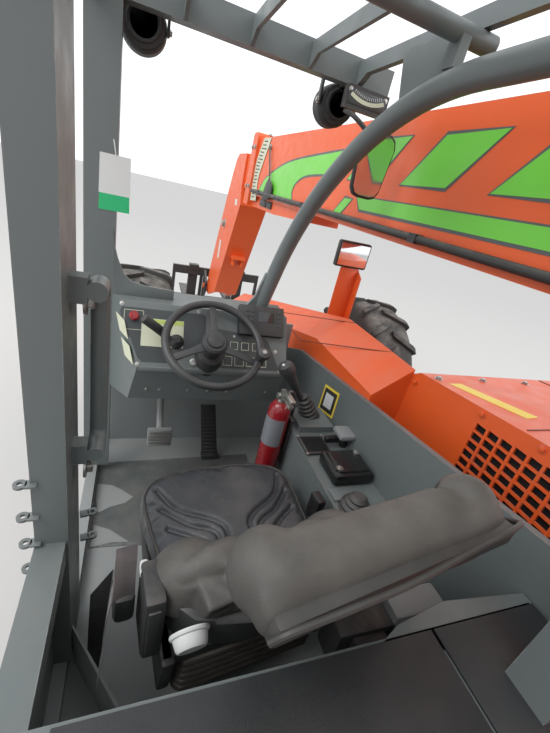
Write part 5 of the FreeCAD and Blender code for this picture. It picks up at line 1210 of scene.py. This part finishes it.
def make_post_details():
    """Hinge lugs on the rear post, handle bolts and a blank tag on the front post."""
    for place in ((-1.232, -1.600, 1.474), (-1.232, -1.600, 1.384), (-1.232, -1.600, 1.304), (-1.232, -1.600, 1.222)):
        eye_lug(place, (-1, 0, 0))
    for z in (1.214, 1.122):
        eye_lug((-1.176, -1.450, z), (1, 0.2, 0))
    for place in ((-1.158, -1.496, 1.838), (-1.158, -1.500, 1.434)):
        hex_bolt(place, (1, 0, 0), 0.018, "chassis", washer=1.6)
    for name, low, high, look in (("tag_card", 1.972, 2.090, PALE), ("tag_foot", 1.921, 1.972, TAG_GREEN)):
        outline = [(-1.200, -0.800, low), (-1.104, -0.800, low), (-1.106, -0.800, high), (-1.198, -0.800, high)]
        settled(plate(name, outline, (0, -0.0012, 0)), "chassis", look)
    cord = tube("tag_cord", [(-1.150, -0.8006, 2.085), (-1.158, -0.800, 2.130), (-1.166, -0.790, 2.150)], 0.0018, detail=2)
    settled(cord, "chassis", PALE)
    # Near-black patch on the floor left of the seat: painted shadow of the dark region there, not an opening.
    shade_outline = [(-1.155, -1.394, FLOOR_Z), (-1.090, -1.311, FLOOR_Z), (-1.105, -1.529, FLOOR_Z), (-1.105, -1.625, FLOOR_Z),
            (-1.145, -1.565, FLOOR_Z)]
    settled(plate("floor_shade_patch", shade_outline, (0, 0, 0.0045)), "chassis", PAINTED_SHADE)
    sheet = [(-1.187, -0.745), (-0.450, -0.715), (-0.450, -1.300), (-1.040, -1.215), (-1.182, -1.209)]
    settled(plate("floor_sheet", [(x, y, FLOOR_Z) for x, y in sheet], (0, 0, 0.003)), "chassis", SHEET)
    for torn in (((-1.182, -0.883), (-1.120, -0.896), (-1.086, -0.921), (-1.030, -0.973), (-1.062, -1.004),
                  (-1.120, -1.020), (-1.163, -1.047), (-1.177, -0.976)),
                 ((-1.172, -1.106), (-1.112, -1.137), (-1.040, -1.202), (-1.100, -1.196), (-1.176, -1.206))):
        outline = [(x, y, FLOOR_Z + 0.0028) for x, y in torn]
        settled(plate("floor_torn_patch", outline, (0, 0, 0.0006)), "chassis", TORN)
    gusset = [(-1.152, 1.862), (-1.146, 1.810), (-1.134, 1.766), (-1.112, 1.712), (-1.084, 1.688), (-1.040, 1.678),
              (-0.930, 1.672), (-0.930, 1.630), (-1.152, 1.630)]
    settled(plate("post_gusset", [(x, -0.804, z) for x, z in gusset], (0, 0.008, 0), bevel=0.0015), "chassis",
            GREY)


def make_shelf_details():
    """Two dark mats on the shelf behind the seat, its light lip and the boxes under it."""
    for name, low, high in (("shelf_mat_left", (-1.135, -2.240, 1.480), (-0.559, -2.008, 1.485)),
                            ("shelf_mat_right", (-0.553, -2.240, 1.480), (-0.300, -2.008, 1.485))):
        settled(block(name, low, high, bevel=0.0015), "chassis", MAT)
    settled(block("shelf_edge", (-1.200, -2.042, 1.440), (-0.300, -2.002, 1.480), bevel=0.002), "chassis",
            GREY)
    lip = [(-0.655, -2.040), (-0.655, -2.005), (-0.613, -1.987), (-0.489, -1.967), (-0.294, -1.985), (-0.294, -2.040)]
    settled(plate("shelf_lip", [(x, y, 1.474) for x, y in lip], (0, 0, 0.006), bevel=0.001), "chassis", GREY)
    for name, left, top, look in (("fuse_box", -0.672, 1.380, PLASTIC), ("relay_box", -0.548, 1.400, PALE_GREY)):
        box = block(name, (left, -1.945, top - 0.100), (left + 0.134, -1.885, top), bevel=0.008)
        back = block("box_back", (left + 0.030, -2.040, top - 0.090), (left + 0.104, -1.940, top - 0.010), bevel=0.004)
        settled(joined(name, [box, back]), "chassis", look)
        settled(block("box_bracket", (left + 0.020, -2.046, top - 0.095), (left + 0.114, -2.036, 1.440), bevel=0.002),
                "chassis", GREY)


def hood_top(x, y, out=0.0):
    """A place on the engine cover's rising top."""
    return Vector((x, y, HOOD_FOLD[1] + (HOOD_FOLD[0] - y) * HOOD_RISE)) + Vector((0, HOOD_RISE, 1)).normalized() * out


def make_hood_details():
    """Bolts, blank strip and seams on the engine cover and deck, latches, vents and lamps."""
    up = (0, HOOD_RISE, 1)
    for y, z in ((-1.249, 1.457), (-1.324, 1.605), (-1.604, 1.661), (-1.784, 1.683), (-2.100, 1.700), (-2.450, 1.730)):
        hex_bolt((HOOD_LEFT, y, z), (-1, 0, 0), 0.009, "chassis", look=ORANGE)
    for x, y in ((-0.089, -1.382), (0.123, -1.378), (0.340, -1.382), (0.560, -1.382), (0.780, -1.382), (1.000, -1.382)):
        hex_bolt(hood_top(x, y), up, 0.010, "chassis", look=STEEL)
    # Near-black plate behind the grille: painted shade of the space behind it.
    settled(block("grille_shade_plate", (HOOD_LEFT + 0.012, -2.060, 1.440), (HOOD_LEFT + 0.016, -1.560, 1.650), bevel=0.001), "chassis",
            PAINTED_SHADE)
    strip = [hood_top(-0.078, -1.420), hood_top(-0.022, -1.416), hood_top(0.040, -1.650), hood_top(-0.018, -1.658)]
    settled(plate("hood_strip", strip, (0, 0, 0.0012)), "chassis", SIGN_YELLOW)
    for start, end in (((-0.100, -1.720), (1.070, -1.720)), ((0.480, -1.340), (0.480, -2.660))):
        settled(tube("hood_seam", [hood_top(*start, 0.0004), hood_top(*end, 0.0004)], 0.0025, detail=1), "chassis",
                SEAM)
    for points in (((-0.306, -0.378, 1.502), (-0.121, -0.845, 1.640)),
                   ((-0.333, -0.638, 1.502), (-0.333, -0.782, 1.504), (-0.115, -1.160, 1.642))):
        settled(tube("deck_seam", list(points), 0.0022, detail=1), "chassis", SEAM)
    side = HOOD_RIGHT
    for index in range(9):
        z = 1.330 - 0.060 * index
        slat = plate("pod_louvre", [(side, -1.250, z), (side, -1.700, z), (side, -1.700, z + 0.026), (side, -1.250, z + 0.026)],
                     (0.010, 0, -0.006), bevel=0.002)
        settled(slat, "chassis", BLACK)
    for y in (-1.160, -1.790):
        settled(block("pod_latch", (side, y - 0.020, 1.020), (side + 0.012, y + 0.020, 1.100), bevel=0.004), "chassis",
                STEEL)
    for x in (-0.900, 0.900):
        rear = Vector((x, TAIL_Y, 1.385))
        box = block("tail_lamp_box", (x - 0.075, TAIL_Y - 0.012, 1.330), (x + 0.075, TAIL_Y + 0.060, 1.440), bevel=0.008)
        settled(box, "chassis", BLACK)
        for shift, look in ((-0.034, RED), (0.034, AMBER)):
            lens = spun("tail_lens", [(0, 0), (0.028, 0), (0.028, 0.006), (0.022, 0.012), (0, 0.014)],
                        rear + Vector((shift, -0.012, 0)), (0, -1, 0), 32)
            settled(lens, "chassis", look)


dress_nodes()
make_cushion()
make_backrest()
make_seat_base()
make_wheels()
make_hand_wheel()
make_dash_details()
make_boom_stripes()
make_boom_indicator()
make_head_details()
make_console_details()
make_extinguisher()
make_pedals()
make_work_lights()
make_mirrors()
make_slope_gauge()
make_post_details()
make_shelf_details()
make_hood_details()
make_camera()
make_studio()
bpy.context.scene.view_settings.view_transform = "Standard"
